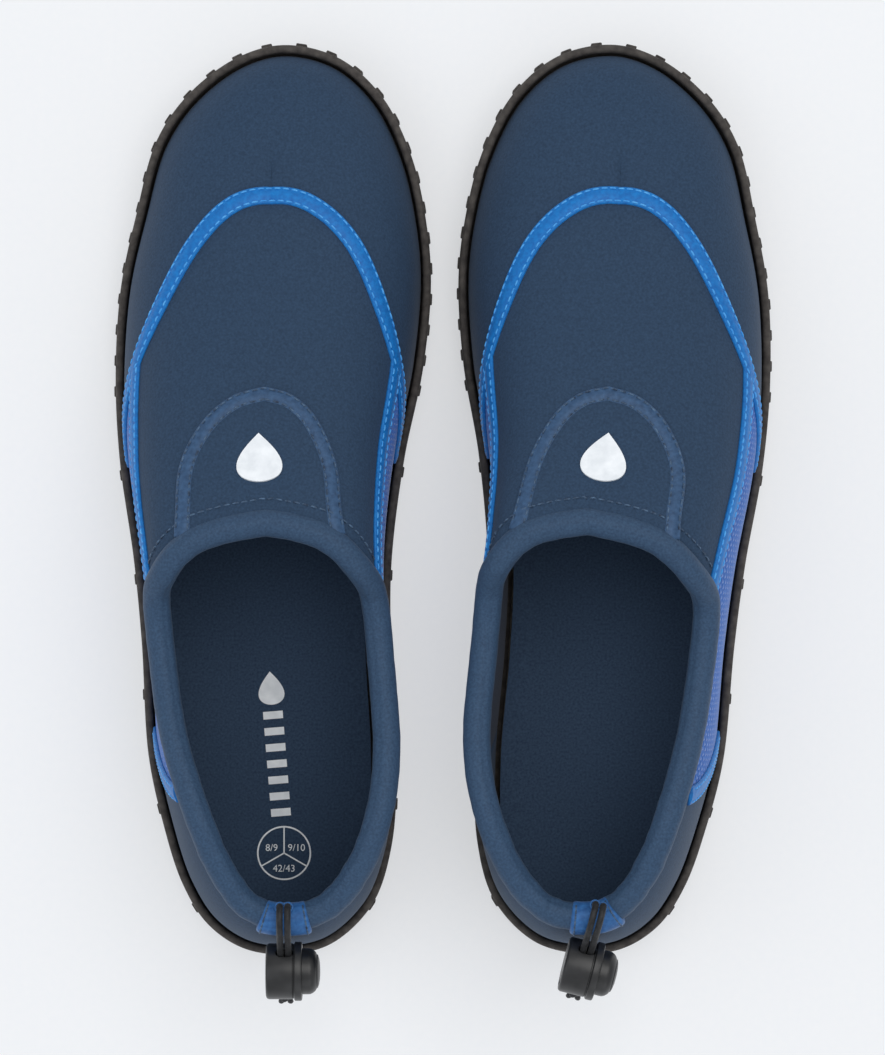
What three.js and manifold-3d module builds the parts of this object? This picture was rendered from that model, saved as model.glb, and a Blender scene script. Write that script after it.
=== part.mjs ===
// A pair of low slip-on neoprene water shoes, size EU 42/43.
//
// Units are millimetres, +Z is up and the shoes stand on z = 0 with their toes along +Y.
// Each shoe is built in its own frame: x runs from the outer side (-) to the inner side (+) of a
// left shoe, y runs forward from the back of the heel, z is up. The right shoe is the same build
// mirrored in x and turned a little.

import * as THREE from 'three';
import { mergeVertices } from 'three/addons/utils/BufferGeometryUtils.js';
import Module from 'manifold-3d';

const wasm = await Module();
wasm.setup();

// ---------------------------------------------------------------- driving dimensions

const SHOE_LENGTH = 285;
const SHOE_SPACING = 107.2;        // between the two shoes' own y axes
const RIGHT_SHOE_TURN = -2.1;      // degrees about PIVOT_Y
const PIVOT_Y = 172;

const FLOOR_TOP = 8;               // inside floor of the rubber tray
const BASE_UNDERSIDE = 2;          // underside of the tray between the tread bars
const RIM_WALL = 2.6;              // rubber wall, measured in from the outline
const RIM_TOP_SIDE = 13.5;
const RIM_TOP_HEEL = 18;
const RIM_TOP_TOE = 20;
const TOE_SPRING = 6;              // how far the toe tip is lifted
const TOE_SPRING_START = 210;

const UPPER_INSET = 3.4;           // the upper's outer face starts this far inside the outline
const UPPER_START = 8.6;           // height where the upper starts, just above the tray floor
const NEOPRENE = 3;
const MESH_FABRIC = 1;
const TAPE = 0.8;
const TAPE_LIFT = 0.75;            // clear height of a tape above the panels
const COLLAR_RADIUS = 4.2;
const COLLAR_BORE = 1.8;
const COLLAR_SINK = 1.5;           // the roll's centre lies this deep under the upper's outer face
const DRAWCORD_RADIUS = 1.1;
const STRAND_RADIUS = 1;
const STRAND_PITCH = 2.4;

const LOCK_RADIUS = 8.5;
const LOCK_LENGTH = 11;
const LOCK_BORE = 7.4;
const LOCK_FLOOR = 1.2;
const BUTTON_RADIUS = 7;
const BUTTON_PROUD = 5.5;
const CORD_HOLE_X = 5.7;           // from the barrel's closed face to the middle of its cord hole

// Outline of the sole seen from above, anticlockwise from the heel tip. Point TOE_POINT is the toe.
const OUTLINE = [
  [4, 0], [18.5, 3.2], [31.5, 15.5], [37.5, 33], [39.2, 60], [37.5, 95], [37.5, 122],
  [41.5, 155], [47.5, 184], [50, 210], [48.8, 228], [44, 250], [34.6, 269], [21, 281],
  [4, 285], [-10.8, 281], [-26, 269.5], [-36, 255], [-42.5, 232], [-47.5, 209],
  [-49.2, 182], [-47.9, 155], [-43.5, 124], [-41, 98], [-38.8, 62], [-34.2, 41],
  [-27.9, 22], [-20, 9.5], [-9, 2],
];
const TOE_POINT = 14;

// Height of the upper's ridge line against y. Behind the throat it is the height that the open
// walls would close at.
const RIDGE = [
  [-20, 95], [40, 93], [70, 87], [95, 82], [115, 80], [134, 78], [150, 71.5], [180, 60],
  [200, 53], [230, 45.5], [245, 42], [260, 38.5], [290, 33],
];

// Squareness of the upper's cross-section against y: 2 is an ellipse, higher is boxier.
const SQUARENESS = [
  [-5, 2.4], [12, 2.5], [37, 3.3], [58, 4.2], [80, 5.3], [110, 5.8], [134, 4.4], [165, 3.1],
  [205, 2.45], [290, 2.3],
];

// How far the upper leans towards the inner side of the foot at ankle height, against y.
const INNER_SHIFT = [
  [0, 3], [37, 4], [65, 5.4], [90, 5], [110, 4.2], [134, 2.6], [165, 0.8], [190, 0], [290, 0],
];

// Seams as (station, angle): the station runs from 0 at the heel to 1 at the toe, the angle from
// 0 at the sole to 90 on the ridge line.
const ARC_SEAM = [
  [0.53, 5], [0.55, 13], [0.575, 22], [0.605, 30.5], [0.625, 35], [0.69, 46.5], [0.767, 57.5],
  [0.833, 71], [0.9, 90],
];
const SPLIT = 4;                   // index in ARC_SEAM where the top seam leaves the arc
const COLLAR_LINE = [
  [0, 38], [0.046, 38], [0.09, 39.5], [0.147, 40.5], [0.226, 39], [0.3, 37], [0.35, 36.2],
  [0.394, 38], [0.418, 48], [0.429, 60], [0.421, 74], [0.402, 90],
];
const CAP_SEAM = [[0.459, 58.7], [0.503, 61], [0.547, 68.5], [0.577, 79], [0.588, 90]];
const HEEL_SEAM = [[0.277, 0], [0.217, 33]];

const COLOURS = {
  rubber: { color: 0x2a2826, roughness: 0.85, metalness: 0 },
  board: { color: 0x8b8478, roughness: 0.9, metalness: 0 },
  foam: { color: 0x2b3038, roughness: 0.95, metalness: 0 },
  insole: { color: 0x212d3e, roughness: 0.95, metalness: 0 },
  neoprene: { color: 0x304662, roughness: 0.8, metalness: 0 },
  binding: { color: 0x324b69, roughness: 0.7, metalness: 0 },
  tape: { color: 0x1678c8, roughness: 0.55, metalness: 0 },
  navyTape: { color: 0x2b4a6b, roughness: 0.6, metalness: 0 },
  meshFabric: { color: 0x3764af, roughness: 0.8, metalness: 0 },
  lining: { color: 0x14181f, roughness: 0.95, metalness: 0 },
  cord: { color: 0x101113, roughness: 0.8, metalness: 0 },
  plastic: { color: 0x373637, roughness: 0.45, metalness: 0 },
  steel: { color: 0xb8bcc0, roughness: 0.3, metalness: 1 },
  print: { color: 0xf2f4f6, roughness: 0.6, metalness: 0 },
};

// ---------------------------------------------------------------- curves and the upper's surface

const radians = THREE.MathUtils.degToRad;

// Monotone cubic through a table of [x, value] rows.
function smoothTable(table) {
  const count = table.length;
  const slopes = [];
  for (let i = 0; i < count - 1; i += 1) {
    slopes.push((table[i + 1][1] - table[i][1]) / (table[i + 1][0] - table[i][0]));
  }
  const tangents = [slopes[0]];
  for (let i = 1; i < count - 1; i += 1) {
    const before = slopes[i - 1];
    const after = slopes[i];
    tangents.push(before * after > 0 ? (2 * before * after) / (before + after) : 0);
  }
  tangents.push(slopes[count - 2]);
  return (x) => {
    let i = 0;
    while (i < count - 2 && x > table[i + 1][0]) {
      i += 1;
    }
    const width = table[i + 1][0] - table[i][0];
    const s = THREE.MathUtils.clamp((x - table[i][0]) / width, 0, 1);
    const rise = s * s * (3 - 2 * s);
    return table[i][1] * (1 - rise) + table[i + 1][1] * rise
      + width * s * (1 - s) * (tangents[i] * (1 - s) - tangents[i + 1] * s);
  };
}

const ridgeHeight = smoothTable(RIDGE);
const squareness = smoothTable(SQUARENESS);
const shiftTable = smoothTable(INNER_SHIFT);

// One side of the outline as a polyline with running length, from the heel tip to the toe tip.
function outlineSide(points) {
  const lengths = [0];
  for (let i = 1; i < points.length; i += 1) {
    lengths.push(lengths[i - 1] + points[i].distanceTo(points[i - 1]));
  }
  const total = lengths[lengths.length - 1];
  return { points, stations: lengths.map((length) => length / total) };
}

const SAMPLES = 40;
const outlineCurve = new THREE.CatmullRomCurve3(
  OUTLINE.map(([x, y]) => new THREE.Vector3(x, y, 0)), true, 'centripetal');
const outlineSamples = outlineCurve.getPoints(OUTLINE.length * SAMPLES);
const INNER = outlineSide(outlineSamples.slice(0, TOE_POINT * SAMPLES + 1));
const OUTER = outlineSide(outlineSamples.slice(TOE_POINT * SAMPLES).reverse());

function outlineAt(side, station) {
  const { points, stations } = side > 0 ? INNER : OUTER;
  let low = 0;
  let high = points.length - 1;
  while (high - low > 1) {
    const middle = (low + high) >> 1;
    if (stations[middle] <= station) {
      low = middle;
    } else {
      high = middle;
    }
  }
  const s = THREE.MathUtils.clamp((station - stations[low]) / (stations[high] - stations[low]), 0, 1);
  return points[low].clone().lerp(points[high], s);
}

// The outline moved in by a distance.
function insetAt(side, station, distance) {
  const step = 0.001;
  const here = outlineAt(side, station);
  if (station < step || station > 1 - step) {
    here.y += station < step ? distance : -distance;
    return here;
  }
  const along = outlineAt(side, station + step).sub(outlineAt(side, station - step)).normalize();
  here.x -= along.y * side * distance;
  here.y += along.x * side * distance;
  return here;
}

function springAt(y) {
  const past = Math.max(0, y - TOE_SPRING_START) / (SHOE_LENGTH - TOE_SPRING_START);
  return TOE_SPRING * past * past;
}

// The y that both sides of the outline share, on average, at a station.
function sharedY(station) {
  return (outlineAt(1, station).y + outlineAt(-1, station).y) / 2;
}

// The spine under the ridge line that the cross-sections fan out from.
function spineAt(station) {
  return new THREE.Vector3(1, 65 + sharedY(station) * 0.6316, 0);
}

// The upper leans to the inner side of the foot with height, and a little to one side of the pair.
function innerShift(y, z) {
  return shiftTable(y) * (Math.max(0, z - 12) / 50) ** 1.3;
}

function leanAt(y, z) {
  return 3.6 * (Math.max(0, z - 25) / 50) ** 2 * THREE.MathUtils.smoothstep(y, 20, 110);
}

// Point on the upper's outer face. side is +1 inner, -1 outer; angle is in degrees.
function surfacePoint(lean, side, station, angle) {
  const foot = insetAt(side, station, UPPER_INSET);
  const spine = spineAt(station);
  const power = squareness(foot.y);
  const across = Math.max(0, Math.cos(radians(angle)));
  const up = Math.max(0, Math.sin(radians(angle)));
  const reach = (across ** power + up ** power) ** (-1 / power);
  const point = spine.clone().lerp(foot, across * reach);
  const start = UPPER_START + springAt(sharedY(station));
  const z = UPPER_START + springAt(point.y) + (ridgeHeight(point.y) - start) * up * reach;
  return new THREE.Vector3(point.x + innerShift(point.y, z) + lean * leanAt(point.y, z), point.y, z);
}

function surfaceNormal(lean, side, station, angle) {
  const step = 0.004;
  const before = surfacePoint(lean, side, Math.max(0, station - step), angle);
  const after = surfacePoint(lean, side, Math.min(1, station + step), angle);
  if (angle > 89.99) {
    return new THREE.Vector3(1, 0, 0).cross(after.sub(before)).normalize();
  }
  const below = surfacePoint(lean, side, station, Math.max(0, angle - 0.8));
  const above = surfacePoint(lean, side, station, Math.min(90, angle + 0.8));
  const normal = after.sub(before).cross(above.sub(below)).normalize();
  return normal.multiplyScalar(side);
}

// Charts turn two numbers into a side, a station and an angle. The first crosses the ridge line,
// the second runs round the toe and the third round the heel.
const overRidge = (station, angle) => (angle <= 90 ? [1, station, angle] : [-1, station, 180 - angle]);
const roundToe = (place, angle) => [place >= 0 ? 1 : -1, 1 - Math.abs(place), angle];
const roundHeel = (place, angle) => [place >= 0 ? 1 : -1, Math.abs(place), angle];

function liftedPoint(lean, chart, a, b, lift) {
  const [side, station, angle] = chart(a, b);
  const normal = surfaceNormal(lean, side, station, angle);
  return surfacePoint(lean, side, station, angle).addScaledVector(normal, lift);
}

// A smooth line through seam points, as a function of 0 to 1.
function seamLine(rows) {
  const curve = new THREE.CatmullRomCurve3(
    rows.map(([a, b]) => new THREE.Vector3(a * 100, b, 0)), false, 'centripetal');
  return (s) => {
    const point = curve.getPointAt(s);
    return [point.x / 100, point.y];
  };
}

// The line moved sideways on the surface: to the left of its direction, by a distance.
function movedLine(lean, chart, line, distance) {
  return (s) => {
    const step = 0.005;
    const [a, b] = line(s);
    const [a0, b0] = line(Math.max(0, s - step));
    const [a1, b1] = line(Math.min(1, s + step));
    const at = (p, q) => surfacePoint(lean, ...chart(p, q));
    const along = at(a1, b1).sub(at(a0, b0)).normalize();
    const normal = surfaceNormal(lean, ...chart(a, b));
    const aside = normal.clone().cross(along).multiplyScalar(distance);
    const byA = at(a + 0.002, b).sub(at(a - 0.002, b)).divideScalar(0.004);
    const byB = at(a, b + 0.4).sub(at(a, b - 0.4)).divideScalar(0.8);
    const aa = byA.dot(byA);
    const ab = byA.dot(byB);
    const bb = byB.dot(byB);
    const det = aa * bb - ab * ab;
    const da = (aside.dot(byA) * bb - aside.dot(byB) * ab) / det;
    const db = (aside.dot(byB) * aa - aside.dot(byA) * ab) / det;
    return [a + da, b + db];
  };
}

// ---------------------------------------------------------------- solids

function geometryFrom(positions, triangles) {
  const geometry = new THREE.BufferGeometry();
  geometry.setAttribute('position', new THREE.Float32BufferAttribute(positions, 3));
  geometry.setIndex(triangles);
  return mergeVertices(geometry, 1e-4);
}

// Drops triangles that a merge has flattened to a line.
function withoutSlivers(geometry) {
  const index = geometry.index.array;
  const kept = [];
  for (let i = 0; i < index.length; i += 3) {
    const [a, b, c] = [index[i], index[i + 1], index[i + 2]];
    if (a !== b && b !== c && c !== a) {
      kept.push(a, b, c);
    }
  }
  geometry.setIndex(kept);
  return geometry;
}

// A solid sheet between two lines of a chart, from one lift above the surface to another.
// zipped joins the far edge onto itself, where it folds over the ridge line.
function sheetBetween(lean, chart, lineA, lineB, across, along, lowLift, highLift, zipped = false) {
  const positions = [];
  const id = (layer, i, j) => layer * (along + 1) * (across + 1) + i * (across + 1) + j;
  for (const lift of [lowLift, highLift]) {
    for (let i = 0; i <= along; i += 1) {
      const [a0, b0] = lineA(i / along);
      const [a1, b1] = lineB(i / along);
      for (let j = 0; j <= across; j += 1) {
        const s = j / across;
        const point = liftedPoint(lean, chart, a0 + (a1 - a0) * s, b0 + (b1 - b0) * s, lift);
        positions.push(point.x, point.y, point.z);
      }
    }
  }
  const triangles = [];
  const quad = (a, b, c, d) => triangles.push(a, b, c, a, c, d);
  for (let i = 0; i < along; i += 1) {
    for (let j = 0; j < across; j += 1) {
      quad(id(1, i, j), id(1, i + 1, j), id(1, i + 1, j + 1), id(1, i, j + 1));
      quad(id(0, i, j), id(0, i, j + 1), id(0, i + 1, j + 1), id(0, i + 1, j));
    }
    quad(id(0, i, 0), id(0, i + 1, 0), id(1, i + 1, 0), id(1, i, 0));
    const folded = zipped && lineB(i / along)[1] >= 89.99 && lineB((i + 1) / along)[1] >= 89.99;
    if (!folded) {
      quad(id(1, i, across), id(1, i + 1, across), id(0, i + 1, across), id(0, i, across));
    }
  }
  for (let j = 0; j < across; j += 1) {
    quad(id(1, 0, j), id(1, 0, j + 1), id(0, 0, j + 1), id(0, 0, j));
    quad(id(0, along, j), id(0, along, j + 1), id(1, along, j + 1), id(1, along, j));
  }
  return facingOut(withoutSlivers(geometryFrom(positions, triangles)));
}

// Turns every face round if the solid's volume comes out negative.
function facingOut(geometry) {
  const position = geometry.attributes.position;
  const index = geometry.index.array;
  const [a, b, c] = [new THREE.Vector3(), new THREE.Vector3(), new THREE.Vector3()];
  let volume = 0;
  for (let i = 0; i < index.length; i += 3) {
    a.fromBufferAttribute(position, index[i]);
    b.fromBufferAttribute(position, index[i + 1]);
    c.fromBufferAttribute(position, index[i + 2]);
    volume += a.dot(b.cross(c));
  }
  if (volume < 0) {
    geometry.setIndex(Array.from(index).reverse());
  }
  return geometry;
}

// A band of even width along a line of a chart.
function tapeAlong(lean, chart, line, width, along, lift, thickness) {
  const left = movedLine(lean, chart, line, width / 2);
  const right = movedLine(lean, chart, line, -width / 2);
  return sheetBetween(lean, chart, right, left, 1, along, lift, lift + thickness);
}

// A plate with the foot's plan: rungs run straight across between the two sides of the outline.
function footPlate(inset, low, high, rungs) {
  const positions = [];
  const triangles = [];
  const loop = [];
  for (let i = 0; i <= rungs; i += 1) {
    const station = (1 - Math.cos((Math.PI * i) / rungs)) / 2;
    loop.push([insetAt(1, station, inset), insetAt(-1, station, inset)]);
  }
  for (const level of [low, high]) {
    for (const [inner, outer] of loop) {
      positions.push(inner.x, inner.y, level + springAt(inner.y));
      positions.push(outer.x, outer.y, level + springAt(outer.y));
    }
  }
  const id = (layer, i, side) => layer * (rungs + 1) * 2 + i * 2 + side;
  for (let i = 0; i < rungs; i += 1) {
    const corners = [[i, 0], [i + 1, 0], [i + 1, 1], [i, 1]];
    const [a, b, c, d] = corners.map(([k, side]) => id(1, k, side));
    const [e, f, g, h] = corners.map(([k, side]) => id(0, k, side));
    triangles.push(a, b, c, a, c, d, e, g, f, e, h, g);
    triangles.push(e, f, b, e, b, a, h, d, c, h, c, g);
  }
  return facingOut(withoutSlivers(geometryFrom(positions, triangles)));
}

// A closed section swept along frames of { centre, across, up }. A hole makes it a tube.
function sweep(frames, section, hole = []) {
  const ring = [...section, ...hole];
  const positions = [];
  for (const { centre, across, up } of frames) {
    for (const [u, v] of ring) {
      const point = centre.clone().addScaledVector(across, u).addScaledVector(up, v);
      positions.push(point.x, point.y, point.z);
    }
  }
  const triangles = [];
  const size = ring.length;
  const loops = [[0, section.length], [section.length, size]];
  for (let i = 0; i < frames.length - 1; i += 1) {
    for (const [first, end] of loops) {
      for (let k = first; k < end; k += 1) {
        const next = k + 1 < end ? k + 1 : first;
        const [a, b] = [i * size + k, i * size + next];
        triangles.push(a, b, b + size, a, b + size, a + size);
      }
    }
  }
  const toVectors = (points) => points.map(([u, v]) => new THREE.Vector2(u, v));
  const holes = hole.length ? [toVectors(hole)] : [];
  const last = (frames.length - 1) * size;
  for (const [a, b, c] of THREE.ShapeUtils.triangulateShape(toVectors(section), holes)) {
    triangles.push(a, c, b, last + a, last + b, last + c);
  }
  return facingOut(geometryFrom(positions, triangles));
}

function circle(radius, sides, start = 0, turn = 1) {
  const points = [];
  for (let i = 0; i < sides; i += 1) {
    const angle = start + (turn * 2 * Math.PI * i) / sides;
    points.push([radius * Math.cos(angle), radius * Math.sin(angle)]);
  }
  return points;
}

function manifoldOf(geometry) {
  const plain = new THREE.BufferGeometry();
  plain.setAttribute('position', geometry.attributes.position.clone());
  plain.setIndex(geometry.index ? Array.from(geometry.index.array) : null);
  const merged = mergeVertices(plain, 1e-4);
  return new wasm.Manifold(new wasm.Mesh({
    numProp: 3,
    vertProperties: new Float32Array(merged.attributes.position.array),
    triVerts: new Uint32Array(merged.index.array),
  }));
}

function geometryOf(manifold) {
  const { vertProperties, triVerts } = manifold.getMesh();
  return geometryFrom(Array.from(vertProperties), Array.from(triVerts));
}

function boxAt(size, centre, rotation = [0, 0, 0]) {
  const geometry = new THREE.BoxGeometry(...size);
  const place = new THREE.Matrix4().makeRotationFromEuler(new THREE.Euler(...rotation));
  place.setPosition(...centre);
  return geometry.applyMatrix4(place);
}

function latheX(profile, segments) {
  const points = profile.map(([x, r]) => new THREE.Vector2(r, x));
  return new THREE.LatheGeometry(points, segments).rotateZ(-Math.PI / 2);
}

// ---------------------------------------------------------------- sole

function rimTop(station) {
  const toe = THREE.MathUtils.smoothstep(station, 0.62, 0.9);
  const heel = 1 - THREE.MathUtils.smoothstep(station, 0.08, 0.24);
  return RIM_TOP_SIDE + (RIM_TOP_TOE - RIM_TOP_SIDE) * toe + (RIM_TOP_HEEL - RIM_TOP_SIDE) * heel;
}

// The tray: a dished base with a standing rim, as rings stacked from the underside to the floor.
function soleTray(rungs) {
  const rings = [
    { inset: 2, height: () => BASE_UNDERSIDE, sprung: true },
    { inset: 0.2, height: () => BASE_UNDERSIDE + 1.5, sprung: true },
    { inset: 0, height: (station) => rimTop(station) - 1, sprung: false },
    { inset: 0.7, height: rimTop, sprung: false },
    { inset: RIM_WALL - 0.4, height: rimTop, sprung: false },
    { inset: RIM_WALL, height: () => FLOOR_TOP, sprung: true },
  ];
  const around = [];
  for (let i = 0; i < rungs; i += 1) {
    around.push([1, (1 - Math.cos((Math.PI * i) / rungs)) / 2]);
  }
  for (let i = rungs; i > 0; i -= 1) {
    around.push([-1, (1 - Math.cos((Math.PI * i) / rungs)) / 2]);
  }
  const size = around.length;
  const positions = [];
  for (const { inset, height, sprung } of rings) {
    for (const [side, station] of around) {
      const point = insetAt(side, station, inset);
      positions.push(point.x, point.y, height(station) + (sprung ? springAt(point.y) : 0));
    }
  }
  const triangles = [];
  for (let r = 0; r < rings.length - 1; r += 1) {
    for (let i = 0; i < size; i += 1) {
      const next = (i + 1) % size;
      const [a, b] = [r * size + i, r * size + next];
      triangles.push(a, b, b + size, a, b + size, a + size);
    }
  }
  const top = (rings.length - 1) * size;
  for (let i = 0; i < rungs; i += 1) {
    const [a, b] = [i, i + 1];
    const [c, d] = [(size - i - 1) % size, (size - i) % size];
    triangles.push(a, c, b, top + a, top + b, top + c);
    triangles.push(a, d, c, top + a, top + c, top + d);
  }
  return facingOut(withoutSlivers(geometryFrom(positions, triangles)));
}

// One tread bar across the sole, with a flat face to the ground.
function treadBar(from, to, inset) {
  const corners = [[1, from], [1, to], [-1, to], [-1, from]];
  const positions = [];
  for (const level of [0, BASE_UNDERSIDE + 0.6]) {
    for (const [side, station] of corners) {
      const point = insetAt(side, station, inset);
      positions.push(point.x, point.y, level + springAt(point.y));
    }
  }
  const triangles = [0, 2, 1, 0, 3, 2, 4, 5, 6, 4, 6, 7];
  for (let i = 0; i < 4; i += 1) {
    const next = (i + 1) % 4;
    triangles.push(i, next, next + 4, i, next + 4, i + 4);
  }
  return facingOut(geometryFrom(positions, triangles));
}

const TREAD_BARS = 13;
const LUG_STATIONS = [0.1, 0.2, 0.31, 0.42, 0.52];

function lugStations() {
  const stations = [...LUG_STATIONS];
  for (let station = 0.6; station < 0.985; station += 0.0295) {
    stations.push(station);
  }
  return stations;
}

function sideLug(side, station) {
  const point = insetAt(side, station, 0.1);
  const inner = insetAt(side, station, 1.1);
  const angle = Math.atan2(point.y - inner.y, point.x - inner.x);
  const low = 4.5 + springAt(point.y);
  const high = rimTop(station) - 2.5;
  return boxAt([2.4, 3.4, high - low], [point.x, point.y, (low + high) / 2], [0, 0, angle]);
}

function outsoleGeometry() {
  let sole = manifoldOf(soleTray(26));
  const first = 0.05;
  const pitch = (0.96 - first) / TREAD_BARS;
  for (let i = 0; i < TREAD_BARS; i += 1) {
    const from = first + i * pitch;
    sole = sole.add(manifoldOf(treadBar(from, from + pitch * 0.72, 5)));
  }
  for (const side of [1, -1]) {
    for (const station of lugStations()) {
      sole = sole.add(manifoldOf(sideLug(side, station)));
    }
  }
  return geometryOf(sole);
}

// ---------------------------------------------------------------- upper

const arcAngle = smoothTable(ARC_SEAM);
const collarAngle = smoothTable(COLLAR_LINE.slice(0, 9));
const collarHalf = seamLine(COLLAR_LINE);
const HALF_GAP_ANGLE = 0.9;        // half the gap between two panels, as an angle
const COLLAR_CLEAR = COLLAR_RADIUS + 1.3;
const COLLAR_CORNER = [0.404, 42];

// How far below the collar line the panels end, as an angle: further down behind the heel tab.
function collarClearAngle(station) {
  return 4 + 2 * (1 - THREE.MathUtils.smoothstep(station, 0.04, 0.11));
}

const TAPE_WIDTH = 5.8;
const CAP_WIDTH = 5;

// A seam over the vamp, from the inner side to the outer side.
function crossingLine(half) {
  const line = seamLine(half);
  return (s) => {
    if (s <= 0.5) {
      return line(s * 2);
    }
    const [station, angle] = line(2 - s * 2);
    return [station, 180 - angle];
  };
}

function lineBetween([a0, b0], [a1, b1]) {
  return (s) => [a0 + (a1 - a0) * s, b0 + (b1 - b0) * s];
}

function toePanel(lean) {
  const place = (s) => 0.45 * (1 - 2 * s);
  const seamAngle = (p) => (Math.abs(p) < 0.1 ? 90 : arcAngle(1 - Math.abs(p)) - HALF_GAP_ANGLE);
  const bottom = (s) => [place(s), 0];
  const top = (s) => [place(s), seamAngle(place(s))];
  return sheetBetween(lean, roundToe, bottom, top, 5, 20, -NEOPRENE, 0, true);
}

function vampEdge(lean) {
  const collar = crossingLine([COLLAR_CORNER, ...COLLAR_LINE.slice(8)]);
  return movedLine(lean, overRidge, collar, -COLLAR_CLEAR);
}

function instepPanel(lean) {
  const arc = crossingLine(ARC_SEAM.slice(SPLIT));
  const front = movedLine(lean, overRidge, arc, 0.6);
  return sheetBetween(lean, overRidge, front, vampEdge(lean), 7, 14, -NEOPRENE, 0);
}

// The top seam on one side, from the arc seam back to the collar.
function topSeam(lean, side) {
  const [station, angle] = vampEdge(lean)(side > 0 ? 0 : 1);
  return lineBetween(ARC_SEAM[SPLIT], [station, side > 0 ? angle : 180 - angle]);
}

// The side panel's outline: low and high edge, from the heel seam forward to where seams meet.
function sideEdges(lean, side, backLow, backHigh, drop) {
  const seam = topSeam(lean, side);
  const [frontStation, frontAngle] = seam(0);
  const [backStation, backAngle] = seam(1);
  const ceiling = (station) => {
    if (station < backStation) {
      const below = collarAngle(station - 0.014) - collarClearAngle(station);
      return Math.min(below, backAngle - HALF_GAP_ANGLE);
    }
    const s = (station - backStation) / (frontStation - backStation);
    return backAngle + (frontAngle - backAngle) * s - HALF_GAP_ANGLE;
  };
  const front = 0.607;
  const low = (s) => {
    const station = backLow + (front - backLow) * s;
    return [station, station > ARC_SEAM[0][0] ? arcAngle(station) + HALF_GAP_ANGLE : 0];
  };
  const high = (s) => {
    const station = backHigh + (front - backHigh) * s;
    return [station, ceiling(station) - drop];
  };
  return side > 0 ? [low, high] : [low, high].map((edge) => (s) => {
    const [station, angle] = edge(s);
    return [station, 180 - angle];
  });
}

function meshPanel(lean, side) {
  const [low, high] = sideEdges(lean, side, HEEL_SEAM[0][0] + 0.003, HEEL_SEAM[1][0] + 0.005, 0);
  return sheetBetween(lean, overRidge, low, high, 3, 10, -0.2 - MESH_FABRIC, -0.2);
}

function meshLining(lean, side) {
  const [low, high] = sideEdges(lean, side, HEEL_SEAM[0][0] + 0.003, HEEL_SEAM[1][0] + 0.005, 0.4);
  return sheetBetween(lean, overRidge, low, high, 3, 10, -NEOPRENE, -NEOPRENE + 0.9);
}

function heelPanel(lean) {
  const gap = 0.003;
  const low = (s) => [(HEEL_SEAM[0][0] - gap) * (1 - 2 * s), 0];
  const high = (s) => {
    const place = (HEEL_SEAM[1][0] - gap) * (1 - 2 * s);
    return [place, collarAngle(Math.abs(place)) - collarClearAngle(Math.abs(place))];
  };
  return sheetBetween(lean, roundHeel, low, high, 4, 16, -NEOPRENE, 0);
}

function sideTape(lean, side, from, to, along) {
  const line = lineBetween(from, to);
  const sided = side > 0 ? line : (s) => [line(s)[0], 180 - line(s)[1]];
  return tapeAlong(lean, overRidge, sided, TAPE_WIDTH, along, TAPE_LIFT, TAPE);
}

function topTrim(lean, side) {
  const seam = topSeam(lean, side);
  return sideTape(lean, side, seam(0.14), seam(0.955), 8);
}

function heelTrim(lean, side) {
  const seam = lineBetween(...HEEL_SEAM);
  return sideTape(lean, side, seam(0.16), seam(0.93), 4);
}

function arcTrim(lean) {
  const rows = [[0.543, 10], ...ARC_SEAM.slice(2)];
  return tapeAlong(lean, overRidge, crossingLine(rows), TAPE_WIDTH, 30, TAPE_LIFT, TAPE);
}

function capTrim(lean) {
  return tapeAlong(lean, overRidge, crossingLine(CAP_SEAM), CAP_WIDTH, 20, TAPE_LIFT, TAPE);
}

// The D-shaped patch inside the cap tape.
function instepPatch(lean) {
  const inside = movedLine(lean, overRidge, crossingLine(CAP_SEAM), CAP_WIDTH / 2 + 0.5);
  const inner = (s) => inside(0.02 + 0.465 * s);
  const outer = (s) => inside(0.98 - 0.465 * s);
  return sheetBetween(lean, overRidge, inner, outer, 4, 8, TAPE_LIFT, TAPE_LIFT + 0.6);
}

// A plain drop-shaped badge, point forward.
function badgeGeometry(lean) {
  const halfWidth = (s) => 6.2 * Math.sin(Math.PI * Math.min(0.985, 0.06 + 0.94 * s) ** 0.72) + 0.25;
  const degreesPerMm = 1.7;
  const edge = (sign) => (s) => [0.533 - 0.078 * s, 91 + sign * halfWidth(s) * degreesPerMm];
  return sheetBetween(lean, overRidge, edge(1), edge(-1), 2, 8, TAPE_LIFT + 0.95, TAPE_LIFT + 1.25);
}

// ---------------------------------------------------------------- collar, cord and lock

// Centre and directions of the collar roll. The place runs from 0 at the heel to 1 at the throat
// on the inner side, and to -1 on the outer side.
function collarPoint(lean, place) {
  const [station, angle] = collarHalf(Math.abs(place));
  const side = place >= 0 ? 1 : -1;
  const normal = surfaceNormal(lean, side, station, angle);
  const centre = surfacePoint(lean, side, station, angle).addScaledVector(normal, -COLLAR_SINK);
  return { centre, normal };
}

function collarFrames(lean, from, span, count) {
  const wrap = (place) => (place > 1 ? place - 2 : place);
  const frames = [];
  for (let i = 0; i <= count; i += 1) {
    const place = from + (span * i) / count;
    const { centre, normal } = collarPoint(lean, wrap(place));
    const ahead = collarPoint(lean, wrap(place + 0.004)).centre;
    const along = ahead.sub(collarPoint(lean, wrap(place - 0.004)).centre).normalize();
    const across = normal.sub(along.clone().multiplyScalar(normal.dot(along))).normalize();
    frames.push({ centre, across, up: along.clone().cross(across) });
  }
  return frames;
}

const COLLAR_GAP = 0.016;          // half the opening between the roll's ends at the heel
const TAB_HALF = 0.032;            // half the heel tab's width, as a place
const TAB_INNER = 5.1;
const TAB_OUTER = 5.45;
const COLLAR_STEPS = 40;

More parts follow.
